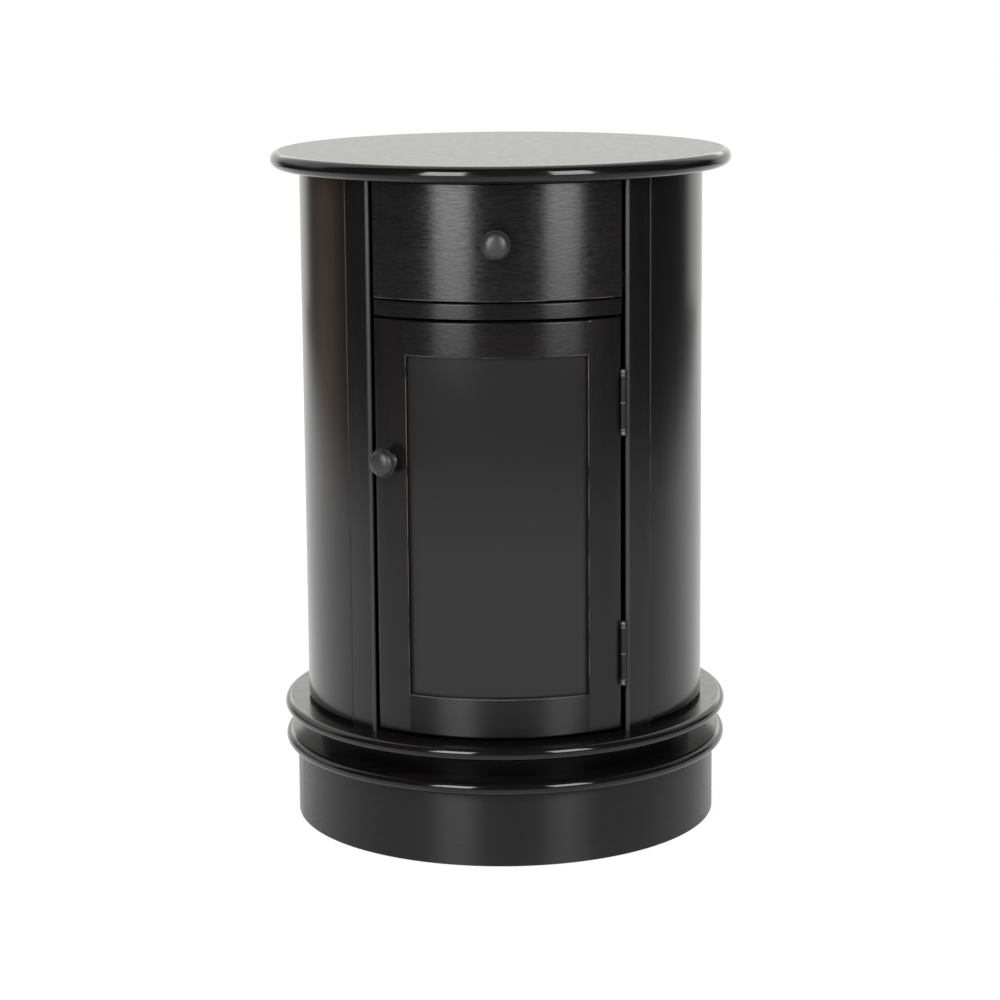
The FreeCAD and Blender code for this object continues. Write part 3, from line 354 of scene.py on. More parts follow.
def black_lacquer(name, grain, brown_share, roughness, depth, stretch=0.0, scatter=SIDEWAYS, black=LACQUER_BLACK,
                  warm_reflection_streak=None, ior=FILM_IOR, polish=0.0):
    """Satin black lacquer. Depth is how far the grain shows, stretch how much it scatters light one way."""
    material, tree = fresh_material(name)
    fine = streaks(tree, grain, STREAK_LENGTH, STREAK_WIDTH, detail=4)
    bands = streaks(tree, grain, BAND_LENGTH, BAND_WIDTH, detail=2)
    ripple = streaks(tree, grain, RIPPLE_LENGTH, RIPPLE_WIDTH, detail=2)
    thin = node(tree, "MapRange", {"Value": bands, "From Min": BROWN_FROM, "From Max": BROWN_FULL,
                                   "To Max": brown_share})
    ground = node(tree, "Mix", {0: thin.outputs[0], 6: colour(black), 7: colour(LACQUER_BROWN)}, data_type="RGBA")
    # a warm reflection painted into the colour along an upright streak
    if warm_reflection_streak:
        ground = node(tree, "Mix", {0: painted_reflection_share(tree, warm_reflection_streak), 6: ground.outputs[2],
                                    7: colour(WARM_REFLECTION_BROWN)}, data_type="RGBA")
    spread = ROUGHNESS_PER_DEPTH * depth
    rough = node(tree, "MapRange", {"Value": fine, "From Min": FINE_LOW, "From Max": FINE_HIGH,
                                    "To Min": roughness - spread, "To Max": roughness + spread})
    waves = node(tree, "Bump", {"Height": ripple, "Strength": 1, "Distance": depth * RIPPLE_SHARE})
    pores = node(tree, "Bump", {"Height": fine, "Strength": 1, "Distance": depth, "Normal": waves.outputs[0]})
    film = node(tree, "BsdfPrincipled", {
        "Base Color": ground.outputs[2], "Roughness": rough.outputs[0], "IOR": ior, "Normal": pores.outputs[0],
        "Anisotropic": stretch, "Anisotropic Rotation": scatter,
        "Coat Weight": polish, "Coat Roughness": POLISH_ROUGHNESS})
    node(tree, "OutputMaterial", {"Surface": film.outputs[0]})
    return material


print("Streaks of grain are", round(STREAK_WIDTH / MM, 1), "mm wide")

# %% [markdown]
# ## One recipe, nine lacquers
# Grain and finish differ from place to place. The drawer, rails and skirt have level grain, the posts and stiles
# upright grain, the round boards grain from left to right. The door panel is duller, the round edges are
# polished, and the posts' beads are a lighter grey that paints their highlight. The bent walls have a thin
# polished film over a duller ground, which is the shader's coat, with a warm brown streak at the upper left
# that is a painted reflection. An open, dull film mirrors less than a closed one, so the rails and walls get a
# lower IOR.

# %% The lacquers
LACQUER_DULL = "#232324"
# a lighter grey that paints the highlight of the posts' beads
BEAD_HIGHLIGHT_GREY = "#383839"
ALONG_X, ALONG_Z, LEVEL = (True, False, False), (False, False, True), (True, True, False)
# where the painted warm reflection runs on the left wall
WARM_REFLECTION_STREAK = (-0.168, -0.1065, 0.0)

lacquer_level = black_lacquer("black_lacquer_level_grain", LEVEL, brown_share=0.12, roughness=0.275,
                              depth=0.064 * MM, stretch=0.75, scatter=UPWARDS)
lacquer_rail = black_lacquer("black_lacquer_on_rails", LEVEL, brown_share=0.12, roughness=0.26,
                             depth=0.05 * MM, stretch=0.72, scatter=UPWARDS, ior=1.38)
lacquer_skirt = black_lacquer("black_lacquer_on_base_skirt", LEVEL, brown_share=0.12, roughness=0.37,
                              depth=0.04 * MM, stretch=0.93, scatter=UPWARDS)
lacquer_upright = black_lacquer("black_lacquer_upright_grain", ALONG_Z, brown_share=0.12, roughness=0.22,
                                depth=0.03 * MM)
lacquer_panel = black_lacquer("dull_black_lacquer_on_door_panel", ALONG_Z, brown_share=0.05, roughness=0.24,
                              depth=0.018 * MM, stretch=0.8, scatter=SIDEWAYS, black=LACQUER_DULL)
lacquer_board = black_lacquer("black_lacquer_on_round_boards", ALONG_X, brown_share=0.2, roughness=0.23,
                              depth=0.05 * MM)
lacquer_nose = black_lacquer("polished_black_lacquer_on_round_edges", LEVEL, brown_share=0.1, roughness=0.1,
                             depth=0.005 * MM)
lacquer_wall = black_lacquer("thin_black_lacquer_on_bent_wall", ALONG_Z, brown_share=0.12, roughness=0.29,
                             depth=0.012 * MM, warm_reflection_streak=WARM_REFLECTION_STREAK, ior=1.26, polish=0.48)
# the beads' lighter grey is a painted highlight
bead_highlight_lacquer = black_lacquer("grey_lacquer_with_painted_highlight_on_beads", ALONG_Z, brown_share=0.0, roughness=0.3,
                             depth=0.01 * MM, black=BEAD_HIGHLIGHT_GREY)
print("Nine lacquers share one recipe")

# %% [markdown]
# ## Rubbed edges
# The maker rubbed the lacquer through along the arrises, so that thin broken lines of brown wood show. The
# bevels that round the edges below get this finish: patches of bare wood between stretches of black. The film
# is satin and the bare wood dull.

# %% Rubbed edges
RUBBED_WOOD = "#72655a"
RUBBED_LIGHTLY = "#3d3936"
RUBBED_DARK = "#2d231c"
PATCH_SIZE = 30.0 * MM
PATCH_SOFTNESS = 0.16
NO_GRAIN = (False, False, False)
FILM_ROUGHNESS, BARE_ROUGHNESS = 0.25, 0.5


def rubbed_edge(name, threshold, wood_code):
    """Lacquer that is rubbed through down to stained wood, in patches where a noise is above a threshold."""
    material, tree = fresh_material(name)
    patches = streaks(tree, NO_GRAIN, PATCH_SIZE, PATCH_SIZE, detail=4)
    bare = node(tree, "MapRange", {"Value": patches, "From Min": threshold, "From Max": threshold + PATCH_SOFTNESS},
                interpolation_type="SMOOTHSTEP")
    brown = node(tree, "Mix", {0: patches, 6: colour(RUBBED_DARK), 7: colour(wood_code)}, data_type="RGBA")
    ground = node(tree, "Mix", {0: bare.outputs[0], 6: colour(LACQUER_BLACK), 7: brown.outputs[2]},
                  data_type="RGBA")
    rough = node(tree, "MapRange", {"Value": bare.outputs[0], "To Min": FILM_ROUGHNESS, "To Max": BARE_ROUGHNESS})
    film = node(tree, "BsdfPrincipled", {"Base Color": ground.outputs[2], "Roughness": rough.outputs[0],
                                         "IOR": FILM_IOR})
    node(tree, "OutputMaterial", {"Surface": film.outputs[0]})
    return material


rubbed = rubbed_edge("rubbed_through_edge", threshold=0.36, wood_code=RUBBED_WOOD)
lightly_rubbed = rubbed_edge("lightly_rubbed_edge", threshold=0.25, wood_code=RUBBED_LIGHTLY)
print("Rubbed patches of about", round(PATCH_SIZE / MM), "mm")

# %% [markdown]
# ## Working by hand, in code
# Each piece starts from a primitive and is shaped in edit mode, as by hand. With no mouse, faces and edges are
# picked by where they are. Everything is deselected first, because an operator acts on all that is selected.

# %% Starting a piece and picking on it
Y, Z = 1, 2
NEAR = 0.05 * MM
CUT_REACH = 0.001 * MM    # a cut this close to a vertex goes through it


def start(operator, name, finishes, scale=(1, 1, 1), **options):
    """Adds a primitive with nothing else selected, puts its place into its mesh and gives it its finishes."""
    bpy.ops.object.select_all(action="DESELECT")
    operator(**options)
    piece = bpy.context.object
    piece.name = name
    piece.scale = scale
    bpy.ops.object.transform_apply(location=True, rotation=True, scale=True)
    for finish in finishes:
        piece.data.materials.append(finish)
    return piece


def pick_faces(piece, test):
    """Goes to edit mode with only the faces selected that pass a test."""
    bpy.ops.object.mode_set(mode="EDIT")
    bpy.ops.mesh.select_mode(type="FACE")
    bpy.ops.mesh.select_all(action="DESELECT")
    bpy.ops.object.mode_set(mode="OBJECT")
    for face in piece.data.polygons:
        face.select = test(face)
    bpy.ops.object.mode_set(mode="EDIT")


def split(piece, axis, place, test=lambda face: True):
    """Draws a line across the faces that pass a test, where a plane square to an axis meets them."""
    pick_faces(piece, test)
    spot, way = Vector(), Vector()
    spot[axis], way[axis] = place, 1
    bpy.ops.mesh.bisect(plane_co=spot, plane_no=way, threshold=CUT_REACH)
    bpy.ops.object.mode_set(mode="OBJECT")


print("Pieces are picked to within", NEAR / MM, "mm")

# %% [markdown]
# ## Soft edges and smooth shading
# A bevel rounds an edge. Its new faces can take the piece's second finish, the rubbed one, so wear follows the
# edges exactly. At the end each piece is shaded smooth except over sharp edges, with normals weighted by
# face size, so that flat faces look flat. Then it rides on its body and hides the node that it stands for.

# %% Soft edges and smooth shading
SHARP = math.radians(35)
PLAIN, RUBBED = 0, 1                                  # a piece's first and second finish
FINE_STEPS, ARRIS_STEPS, ROUNDED_STEPS = 2, 3, 4      # faces across an edge


def soften(piece, width, segments, finish, test=lambda spot: True):
    """Rounds the sharp edges whose middles pass a test. The new faces get one of the piece's finishes."""
    bpy.ops.object.mode_set(mode="EDIT")
    bpy.ops.mesh.select_mode(type="EDGE")
    bpy.ops.mesh.select_all(action="DESELECT")
    bpy.ops.mesh.edges_select_sharp(sharpness=SHARP)
    bpy.ops.object.mode_set(mode="OBJECT")
    for face in piece.data.polygons:
        face.select = False    # a selected face would bring all its edges back
    for edge in piece.data.edges:
        first, second = (piece.data.vertices[index].co for index in edge.vertices)
        edge.select = edge.select and test((first + second) / 2)
    bpy.ops.object.mode_set(mode="EDIT")
    bpy.ops.mesh.bevel(offset=width, segments=segments, affect="EDGES", clamp_overlap=True, material=finish)
    bpy.ops.object.mode_set(mode="OBJECT")


def complete(piece, body, slot, *nodes):
    """Shades a piece, lets it ride on its body and hides the construction nodes that it stands for."""
    bpy.ops.object.select_all(action="DESELECT")
    piece.select_set(True)
    bpy.context.view_layer.objects.active = piece
    bpy.ops.object.shade_smooth_by_angle(angle=SHARP)
    even = piece.modifiers.new("even shading", "WEIGHTED_NORMAL")
    even.keep_sharp = True
    bpy.ops.object.modifier_apply(modifier=even.name)
    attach(piece, body)
    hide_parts(*nodes)
    sides_at = {}
    for polygon in piece.data.polygons:
        for key in polygon.edge_keys:
            sides_at[key] = sides_at.get(key, 0) + 1
    open_edges = sum(count != 2 for count in sides_at.values())
    print(piece.name, len(piece.data.polygons), "faces,", open_edges, "open edges")


print("Edges of more than", round(math.degrees(SHARP)), "degrees count as sharp")

# %% [markdown]
# ## Round boards
# The top, the swivel plate and the base cap are round boards with a half-round edge, shaped on a spindle. A
# cylinder with its two rims bevelled by half its thickness gives exactly that edge. An inset keeps the flat
# faces flat up to where the rounding starts.

# %% Top, swivel plate and base cap
ROUND_STEPS = 224
NOSE_SHARE = 0.485
NOSE_STEPS = 9
NOSE = 1
FLAT_RIM = 3.0 * MM
FLAT_NORMAL = 0.999
FLAT_AREA = 0.01    # square metres: only the two flat sides are larger


def round_board(name, source, body):
    """A round board with a half-round edge, in the place of a construction node."""
    low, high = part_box(source)
    thickness = high.z - low.z
    piece = start(bpy.ops.mesh.primitive_cylinder_add, name, [lacquer_board, lacquer_nose], vertices=ROUND_STEPS,
                  radius=high.y, depth=thickness, location=(0, 0, (low.z + high.z) / 2))
    soften(piece, thickness * NOSE_SHARE, NOSE_STEPS, NOSE)
    pick_faces(piece, lambda face: abs(face.normal.z) > FLAT_NORMAL and face.area > FLAT_AREA)
    bpy.ops.mesh.inset(thickness=FLAT_RIM)
    bpy.ops.object.mode_set(mode="OBJECT")
    complete(piece, body, "black_lacquer", source)


round_board("top_board", "table_top", "cabinet")
round_board("swivel_board", "swivel_plate", "cabinet")
round_board("base_board", "base_cap", "base")

# %% [markdown]
# ## Bent and bowed pieces
# The drum's walls, posts, drawer front and door are bent or sawn to the same circle. An upright rectangle spun
# about the table's axis makes a bent wall. Pieces that end in straight cuts, front to back, are spun a little
# too long and then cut with bisect, which also closes the cut.

# %% Spinning and cutting
SPIN_STEP = math.radians(1.5)
WELD = 0.01 * MM


def upright(name, inner, outer, foot, head, *finishes):
    """An upright rectangle at the front, from an inner to an outer radius."""
    return start(bpy.ops.mesh.primitive_plane_add, name, finishes, (head - foot, outer - inner, 1), size=1,
                 rotation=(0, math.pi / 2, 0), location=(0, -(inner + outer) / 2, (foot + head) / 2))


def spin(piece, first, last, steps):
    """Spins a flat piece about the table's axis between two angles, counted from the front to the right."""
    piece.rotation_euler.z = first
    bpy.ops.object.transform_apply(location=False, rotation=True, scale=False)
    bpy.ops.object.mode_set(mode="EDIT")
    bpy.ops.mesh.select_all(action="SELECT")
    # The operator turns clockwise about its axis, so the axis points down.
    bpy.ops.mesh.spin(steps=steps, angle=last - first, center=(0, 0, 0), axis=(0, 0, -1))
    bpy.ops.mesh.select_all(action="SELECT")
    bpy.ops.mesh.remove_doubles(threshold=WELD)
    bpy.ops.mesh.normals_make_consistent(inside=False)
    bpy.ops.object.mode_set(mode="OBJECT")


def cut_across(piece, place, keep_right):
    """Cuts a piece with an upright plane from front to back, and closes the cut."""
    bpy.ops.object.mode_set(mode="EDIT")
    bpy.ops.mesh.select_all(action="SELECT")
    bpy.ops.mesh.bisect(plane_co=(place, 0, 0), plane_no=(1, 0, 0), use_fill=True,
                        clear_inner=keep_right, clear_outer=not keep_right, threshold=CUT_REACH)
    bpy.ops.object.mode_set(mode="OBJECT")


def bow(piece, left, right, inner, outer):
    """Spins a flat piece to a bowed block that ends in straight cuts at left and right."""
    first, last = math.asin(left / outer), math.asin(right / outer)
    count = max(2, round((last - first) / SPIN_STEP))
    step = (last - first) / count
    before = 1 + max(0, math.ceil((first - math.asin(left / inner)) / step))
    after = 1 + max(0, math.ceil((math.asin(right / inner) - last) / step))
    spin(piece, first - before * step, last + after * step, before + count + after)
    cut_across(piece, left, keep_right=True)
    cut_across(piece, right, keep_right=False)


print("Curves are drawn in steps of", round(math.degrees(SPIN_STEP), 1), "degrees")

# %% [markdown]
# ## Base skirt and drum walls
# The skirt is one strip bent round until its ends meet, and the seam shows at the left. The drum's wall is in
# two halves that meet at the back. Their front ends lie against the posts, and the joint is a fine groove
# where the lacquer is rubbed.

# %% Base skirt and drum walls
SKIRT_WALL = 12.0 * MM
SKIRT_SEAM = math.radians(-71)
SKIRT_SEAM_GAP = 0.4 * MM
SKIRT_STEPS = 240
WALL = 9.0 * MM
GLUE_LINE = 0.2 * MM
WALL_STEPS = 96
JOINT_ANGLE = math.radians(46.5)
ARRIS = 0.8 * MM

low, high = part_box("base_skirt")
skirt_radius = high.y
half_seam = SKIRT_SEAM_GAP / 2 / skirt_radius
skirt = upright("skirt", skirt_radius - SKIRT_WALL, skirt_radius, low.z, high.z, lacquer_skirt)
spin(skirt, SKIRT_SEAM + half_seam, SKIRT_SEAM + 2 * math.pi - half_seam, SKIRT_STEPS)
soften(skirt, ARRIS / 2, FINE_STEPS, PLAIN)
complete(skirt, "base", "black_lacquer", "base_skirt")

drum_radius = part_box("right_side_panel")[1].y


def at_face(spot):
    """Whether a spot lies on the drum's outer face."""
    return spot.xy.length > drum_radius - NEAR


def drum_wall(name, source, side):
    """One half of the drum's bent wall. Side is 1 at the right and -1 at the left."""
    low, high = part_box(source)
    ends = sorted(side * angle for angle in (JOINT_ANGLE + GLUE_LINE / drum_radius,
                                             math.pi - GLUE_LINE / 2 / drum_radius))
    wall = upright(name, drum_radius - WALL, drum_radius, low.z, high.z, lacquer_wall, lightly_rubbed)
    spin(wall, *ends, WALL_STEPS)
    soften(wall, ARRIS, ARRIS_STEPS, RUBBED, lambda spot: at_face(spot) and spot.y < 0
           and low.z + NEAR < spot.z < high.z - NEAR)
    soften(wall, ARRIS / 2, FINE_STEPS, PLAIN, at_face)
    complete(wall, "cabinet", "black_lacquer", source)


drum_wall("right_wall", "right_side_panel", 1)
drum_wall("left_wall", "left_side_panel", -1)

# %% [markdown]
# ## Posts
# Two posts stand at the sides of the opening. Their inner edge is rounded into a bead that shows as a bright
# upright line beside the drawer and the door. A bevel of many steps makes it, with a finish of its own whose
# lighter grey is a painted highlight, so the bead is part of the post as it is on the real one.

# %% Posts
POST_DEPTH = 24.0 * MM
POST_STEPS = 4
POST_OVERRUN = math.radians(0.35)
BEAD = 2.8 * MM
BEAD_STEPS = 8
BEADED = 2


def post(name, source, side):
    """A post between the opening and a drum wall. Side is 1 at the right and -1 at the left."""
    low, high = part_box(source)
    opening = low.x if side > 0 else high.x
    near = math.asin(abs(opening) / drum_radius)
    ends = sorted((side * (near - POST_OVERRUN), side * JOINT_ANGLE))
    piece = upright(name, drum_radius - POST_DEPTH, drum_radius, low.z, high.z, lacquer_upright, lightly_rubbed,
                    bead_highlight_lacquer)
    spin(piece, *ends, POST_STEPS)
    cut_across(piece, opening, keep_right=side > 0)
    # A bevel is measured along the faces: at a corner of less than a right angle it is wider than the radius.
    width = BEAD / math.tan((math.pi / 2 - near) / 2)
    soften(piece, width, BEAD_STEPS, BEADED, lambda spot: at_face(spot) and abs(spot.x - opening) < NEAR)
    soften(piece, ARRIS, ARRIS_STEPS, RUBBED, lambda spot: at_face(spot) and abs(spot.x) > abs(opening) + 2 * width
           and low.z + NEAR < spot.z < high.z - NEAR)
    complete(piece, "cabinet", "black_lacquer", source)


post("right_front_post", "right_post", 1)
post("left_front_post", "left_post", -1)

# %% [markdown]
# ## Drawer front and rail
# Both are sawn from solid wood to the drum's curve, and a spun rectangle with straight cuts at its ends is the
# same shape. The rail under the drawer ends short of the posts, and the gaps stay dark. Their upper edges are
# rounded and catch the lamps, the drawer's lower edge is rubbed brown.

# %% Drawer front and rail
FRONT_DEPTH = 18.0 * MM
RAIL_DEPTH = 22.5 * MM
ROUNDED = 2.0 * MM
front_radius = -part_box("drawer_front")[0].y


def in_front(spot):
    """Whether a spot lies on the drawer's and door's outer face."""
    return spot.xy.length > front_radius - NEAR


def bowed_front(name, source, depth, body, finish, top_edge, rubbed_foot):
    """A bowed block with rounded side edges and a given top edge, in the place of a construction node."""
    low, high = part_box(source)
    piece = upright(name, front_radius - depth, front_radius, low.z, high.z, finish, rubbed)
    bow(piece, low.x, high.x, front_radius - depth, front_radius)
    soften(piece, top_edge, ROUNDED_STEPS, PLAIN, lambda spot: in_front(spot) and abs(spot.z - high.z) < NEAR)
    soften(piece, ROUNDED, ROUNDED_STEPS, PLAIN, lambda spot: in_front(spot)
           and low.z + NEAR < spot.z < high.z - 2 * top_edge)
    if rubbed_foot:
        soften(piece, ARRIS, ARRIS_STEPS, RUBBED, lambda spot: in_front(spot) and abs(spot.z - low.z) < NEAR)
    complete(piece, body, "black_lacquer", source)


bowed_front("drawer_face", "drawer_front", FRONT_DEPTH, "drawer", lacquer_level, top_edge=ARRIS, rubbed_foot=True)
bowed_front("rail_under_drawer", "divider_rail", RAIL_DEPTH, "cabinet", lacquer_rail, top_edge=ROUNDED,
            rubbed_foot=False)

# %% [markdown]
# ## Door panel and stiles
# The door is a frame of two stiles and two rails round a sunk panel. The panel's edges and the rails' tongues
# sit in grooves, as a joiner makes them. A groove is a strip of an edge face that is extruded inwards, and a
# tongue is the same strip extruded outwards. The arris round the panel is rubbed, the joints are not.

# %% Door panel and stiles
SUNK = 5.0 * MM
PANEL = 6.0 * MM
TONGUE = 5.6 * MM
GROOVE = 6.0 * MM
FINE_ARRIS = 0.35 * MM
JOINT_ARRIS = 0.3 * MM
END_NORMAL = 0.99
panel_face = front_radius - SUNK
panel_back = panel_face - PANEL
panel_foot, panel_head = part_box("door_foot_rail")[1].z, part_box("door_head_rail")[0].z

low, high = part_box("door_panel")
panel = upright("sunk_panel", panel_back, panel_face, low.z, high.z, lacquer_panel)
bow(panel, low.x, high.x, panel_back, panel_face)
soften(panel, FINE_ARRIS, FINE_STEPS, PLAIN)
complete(panel, "door", "black_lacquer", "door_panel")


def extrude_strip(piece, edge, inner, outer, reach):
    """Extrudes the strip of an end face between two radii along the curve, as a tongue or a groove."""
    def at_edge(face):
        return abs(face.center.x - edge) < NEAR and abs(face.normal.x) > END_NORMAL

    back, front = (-math.sqrt(radius ** 2 - edge ** 2) for radius in (inner, outer))
    split(piece, Y, back, at_edge)
    split(piece, Y, front, at_edge)
    pick_faces(piece, lambda face: at_edge(face) and front < face.center.y < back)
    middle = (inner + outer) / 2
    turned = math.sqrt(middle ** 2 - edge ** 2) - math.sqrt(middle ** 2 - (edge + reach) ** 2)
    bpy.ops.mesh.extrude_region_move(TRANSFORM_OT_translate={"value": (reach, turned, 0)})
    bpy.ops.object.mode_set(mode="OBJECT")


def stile(name, source, side):
    """An upright of the door's frame. Side is 1 at the right and -1 at the left."""
    low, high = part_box(source)
    edge = low.x if side > 0 else high.x
    piece = upright(name, front_radius - FRONT_DEPTH, front_radius, low.z, high.z, lacquer_upright, rubbed)
    bow(piece, low.x, high.x, front_radius - FRONT_DEPTH, front_radius)
    for level in (panel_foot, panel_head):
        split(piece, Z, level)
    extrude_strip(piece, edge, panel_back - GLUE_LINE, panel_face + GLUE_LINE, side * GROOVE)
    soften(piece, ARRIS, ARRIS_STEPS, RUBBED, lambda spot: in_front(spot) and abs(spot.x - edge) < NEAR
           and panel_foot < spot.z < panel_head)
    soften(piece, ROUNDED, ROUNDED_STEPS, PLAIN, lambda spot: in_front(spot) and abs(spot.x - edge) > ROUNDED)
    soften(piece, JOINT_ARRIS, FINE_STEPS, PLAIN, in_front)
    complete(piece, "door", "black_lacquer", source)


stile("latch_stile", "door_latch_stile", -1)
stile("hinge_stile", "door_hinge_stile", 1)

# %% [markdown]
# ## Door rails
# A rail's groove runs round the curve, so it is cut into the flat rectangle before the spin, as a moulding
# cutter would run along the bent rail. The tongues at its ends are extruded afterwards.

# %% Door rails
def door_rail(name, source, groove_up, finish):
    """A level piece of the door's frame, with the panel's groove in its top or its underside."""
    low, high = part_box(source)
    left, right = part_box("door_latch_stile")[1].x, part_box("door_hinge_stile")[0].x
    piece = upright(name, front_radius - FRONT_DEPTH, front_radius, low.z, high.z, finish, rubbed)
    groove_floor = high.z - GROOVE if groove_up else low.z + GROOVE
    for radius in (panel_back - GLUE_LINE, panel_face + GLUE_LINE):
        split(piece, Y, -radius)
    split(piece, Z, groove_floor)
    pick_faces(piece, lambda face: panel_back < -face.center.y < panel_face
               and (face.center.z > groove_floor) == groove_up)
    bpy.ops.mesh.delete(type="FACE")
    bpy.ops.object.mode_set(mode="OBJECT")
    bow(piece, left, right, front_radius - FRONT_DEPTH, front_radius)
    extrude_strip(piece, left, panel_back, panel_face, -TONGUE)
    extrude_strip(piece, right, panel_back, panel_face, TONGUE)
    opening, rim = (high.z, low.z) if groove_up else (low.z, high.z)
    soften(piece, ARRIS, ARRIS_STEPS, RUBBED, lambda spot: in_front(spot) and abs(spot.z - opening) < NEAR)
    soften(piece, ROUNDED, ROUNDED_STEPS, PLAIN, lambda spot: in_front(spot) and abs(spot.z - rim) < NEAR)
    soften(piece, JOINT_ARRIS, FINE_STEPS, PLAIN, in_front)
    complete(piece, "door", "black_lacquer", source)


door_rail("foot_rail", "door_foot_rail", groove_up=True, finish=lacquer_skirt)
door_rail("head_rail", "door_head_rail", groove_up=False, finish=lacquer_rail)

# %% [markdown]
# ## Dark bronze
# The knobs are turned metal with a dark bronze coating: satin, and a little mottled and lighter where hands have
# worn it. The coating is part metal and part film, so the shader isn't fully metallic. One noise drives the
# colour, the gloss and a slight unevenness, because on a real knob all three come from the same wear. The
# function also makes the plain brass of the hinges' pins and screws.

# %% Dark bronze
BRONZE, BRONZE_WORN = "#464647", "#555351"
BRASS_AGED, BRASS_HANDLED = "#33312f", "#4d4942"
BRASS_BRIGHT, BRASS_BRIGHTEST = "#716e6a", "#827f7a"
MOTTLE = 3.0 * MM
MOTTLE_LOW, MOTTLE_HIGH = 0.4, 0.75
MOTTLE_GLOSS = 0.08
MOTTLE_DEPTH, MOTTLE_STRENGTH = 0.05 * MM, 0.3
COATED_METALLIC = 0.7


def coated_metal(name, ground, wear_and_painted_light, roughness):
    """A dark metal coating, mottled by handling."""
    material, tree = fresh_material(name)
    mottle = streaks(tree, NO_GRAIN, MOTTLE, MOTTLE, detail=4)
    share = node(tree, "MapRange", {"Value": mottle, "From Min": MOTTLE_LOW, "From Max": MOTTLE_HIGH})
    base = node(tree, "Mix", {0: share.outputs[0], 6: colour(ground), 7: colour(wear_and_painted_light)}, data_type="RGBA")
    rough = node(tree, "MapRange", {"Value": mottle, "To Min": roughness - MOTTLE_GLOSS,
                                    "To Max": roughness + MOTTLE_GLOSS})
    uneven = node(tree, "Bump", {"Height": mottle, "Strength": MOTTLE_STRENGTH, "Distance": MOTTLE_DEPTH})
    coat = node(tree, "BsdfPrincipled", {"Base Color": base.outputs[2], "Metallic": COATED_METALLIC,
                                         "Roughness": rough.outputs[0], "Normal": uneven.outputs[0]})
    node(tree, "OutputMaterial", {"Surface": coat.outputs[0]})
    return material


bronze = coated_metal("dark_bronze_coating", BRONZE, BRONZE_WORN, roughness=0.42)
aged_brass = coated_metal("dark_aged_brass", BRASS_AGED, BRASS_HANDLED, roughness=0.4)
worn_brass = coated_metal("worn_bright_brass", BRASS_BRIGHT, BRASS_BRIGHTEST, roughness=0.34)
print("Metals:", bronze.name, aged_brass.name, worn_brass.name)

# %% [markdown]
# ## Hinges
# The hinges are dark aged brass. The ends of the knuckles rub on each other and on the hands that open the
# door, and they catch the light, so a bright ring is painted at the ends and the middle of a barrel, as wear and
# as a painted highlight, and the ball tips of the pins are bright. A ring is where the height along the barrel is
# close to the end of a pair of knuckles. A ping-pong of the height finds all of them at once, so no texture is
# needed.

# %% Hinge finish
KNUCKLE_PAIR = 26.0 * MM
RING_CORE, RING = 0.48 * MM, 0.8 * MM
BARREL_REACH = 3.2 * MM
HINGE_AXIS = (118.0 * MM, -162.24 * MM, 0)
HINGE_DARK, HINGE_LIGHTER, HINGE_HIGHLIGHT_RING = "#333334", "#454548", "#8d8a86"
HINGE_SMOOTH, HINGE_ROUGH = 0.28, 0.42
HINGE_METALLIC = 0.9


def hinge_brass(name, foot):
    """Dark brass with bright rings painted at the knuckles, as wear and highlight, of a hinge whose barrel starts
    at a given height.
    """
    material, tree = fresh_material(name)
    spot = node(tree, "TexCoord").outputs["Object"]
    height = node(tree, "SeparateXYZ", {0: spot}).outputs["Z"]
    above = node(tree, "Math", {0: height, 1: foot}, operation="SUBTRACT")
    to_end = node(tree, "Math", {0: above.outputs[0], 1: KNUCKLE_PAIR / 2}, operation="PINGPONG")
    ring = node(tree, "MapRange", {"Value": to_end.outputs[0], "From Min": RING_CORE, "From Max": RING,
                                   "To Min": 1, "To Max": 0})
    flat = node(tree, "VectorMath", {0: spot, 1: (1, 1, 0)}, operation="MULTIPLY")
    gap = node(tree, "VectorMath", {0: flat.outputs[0], 1: HINGE_AXIS}, operation="DISTANCE")
    on_barrel = node(tree, "Math", {0: gap.outputs["Value"], 1: BARREL_REACH}, operation="LESS_THAN")
    wear_and_painted_light = node(tree, "Math", {0: ring.outputs[0], 1: on_barrel.outputs[0]}, operation="MULTIPLY")
    mottle = streaks(tree, NO_GRAIN, MOTTLE, MOTTLE, detail=4)
    dark = node(tree, "Mix", {0: mottle, 6: colour(HINGE_DARK), 7: colour(HINGE_LIGHTER)}, data_type="RGBA")
    # bright rings painted into the colour: highlights of the knuckle ends, and wear
    base = node(tree, "Mix", {0: wear_and_painted_light.outputs[0], 6: dark.outputs[2], 7: colour(HINGE_HIGHLIGHT_RING)}, data_type="RGBA")
    rough = node(tree, "MapRange", {"Value": mottle, "To Min": HINGE_SMOOTH, "To Max": HINGE_ROUGH})
    metal = node(tree, "BsdfPrincipled", {"Base Color": base.outputs[2], "Metallic": HINGE_METALLIC,
                                          "Roughness": rough.outputs[0]})
    node(tree, "OutputMaterial", {"Surface": metal.outputs[0]})
    return material


hinge_finishes = {"hinge_pins": worn_brass}
for place in ("upper", "lower"):
    finish = hinge_brass("aged_brass_%s_hinge" % place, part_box(place + "_hinge_frame_leaf")[0].z)
    for leaf in ("frame", "door"):
        hinge_finishes["%s_hinge_%s_leaf" % (place, leaf)] = finish
print("Hinge pieces:", sorted(hinge_finishes))

# %% [markdown]
# ## Knobs
# A mushroom knob is turned on a lathe. A circle that is extruded and scaled ring by ring follows the turner's
# profile: flange, waist, rim and crown. The crown is fuller than a part of a sphere, flatter in the middle and
# steeper at the rim, which is why its two highlights stand far apart. The two knobs are alike, so one function
# turns them and sets them on the curved fronts.

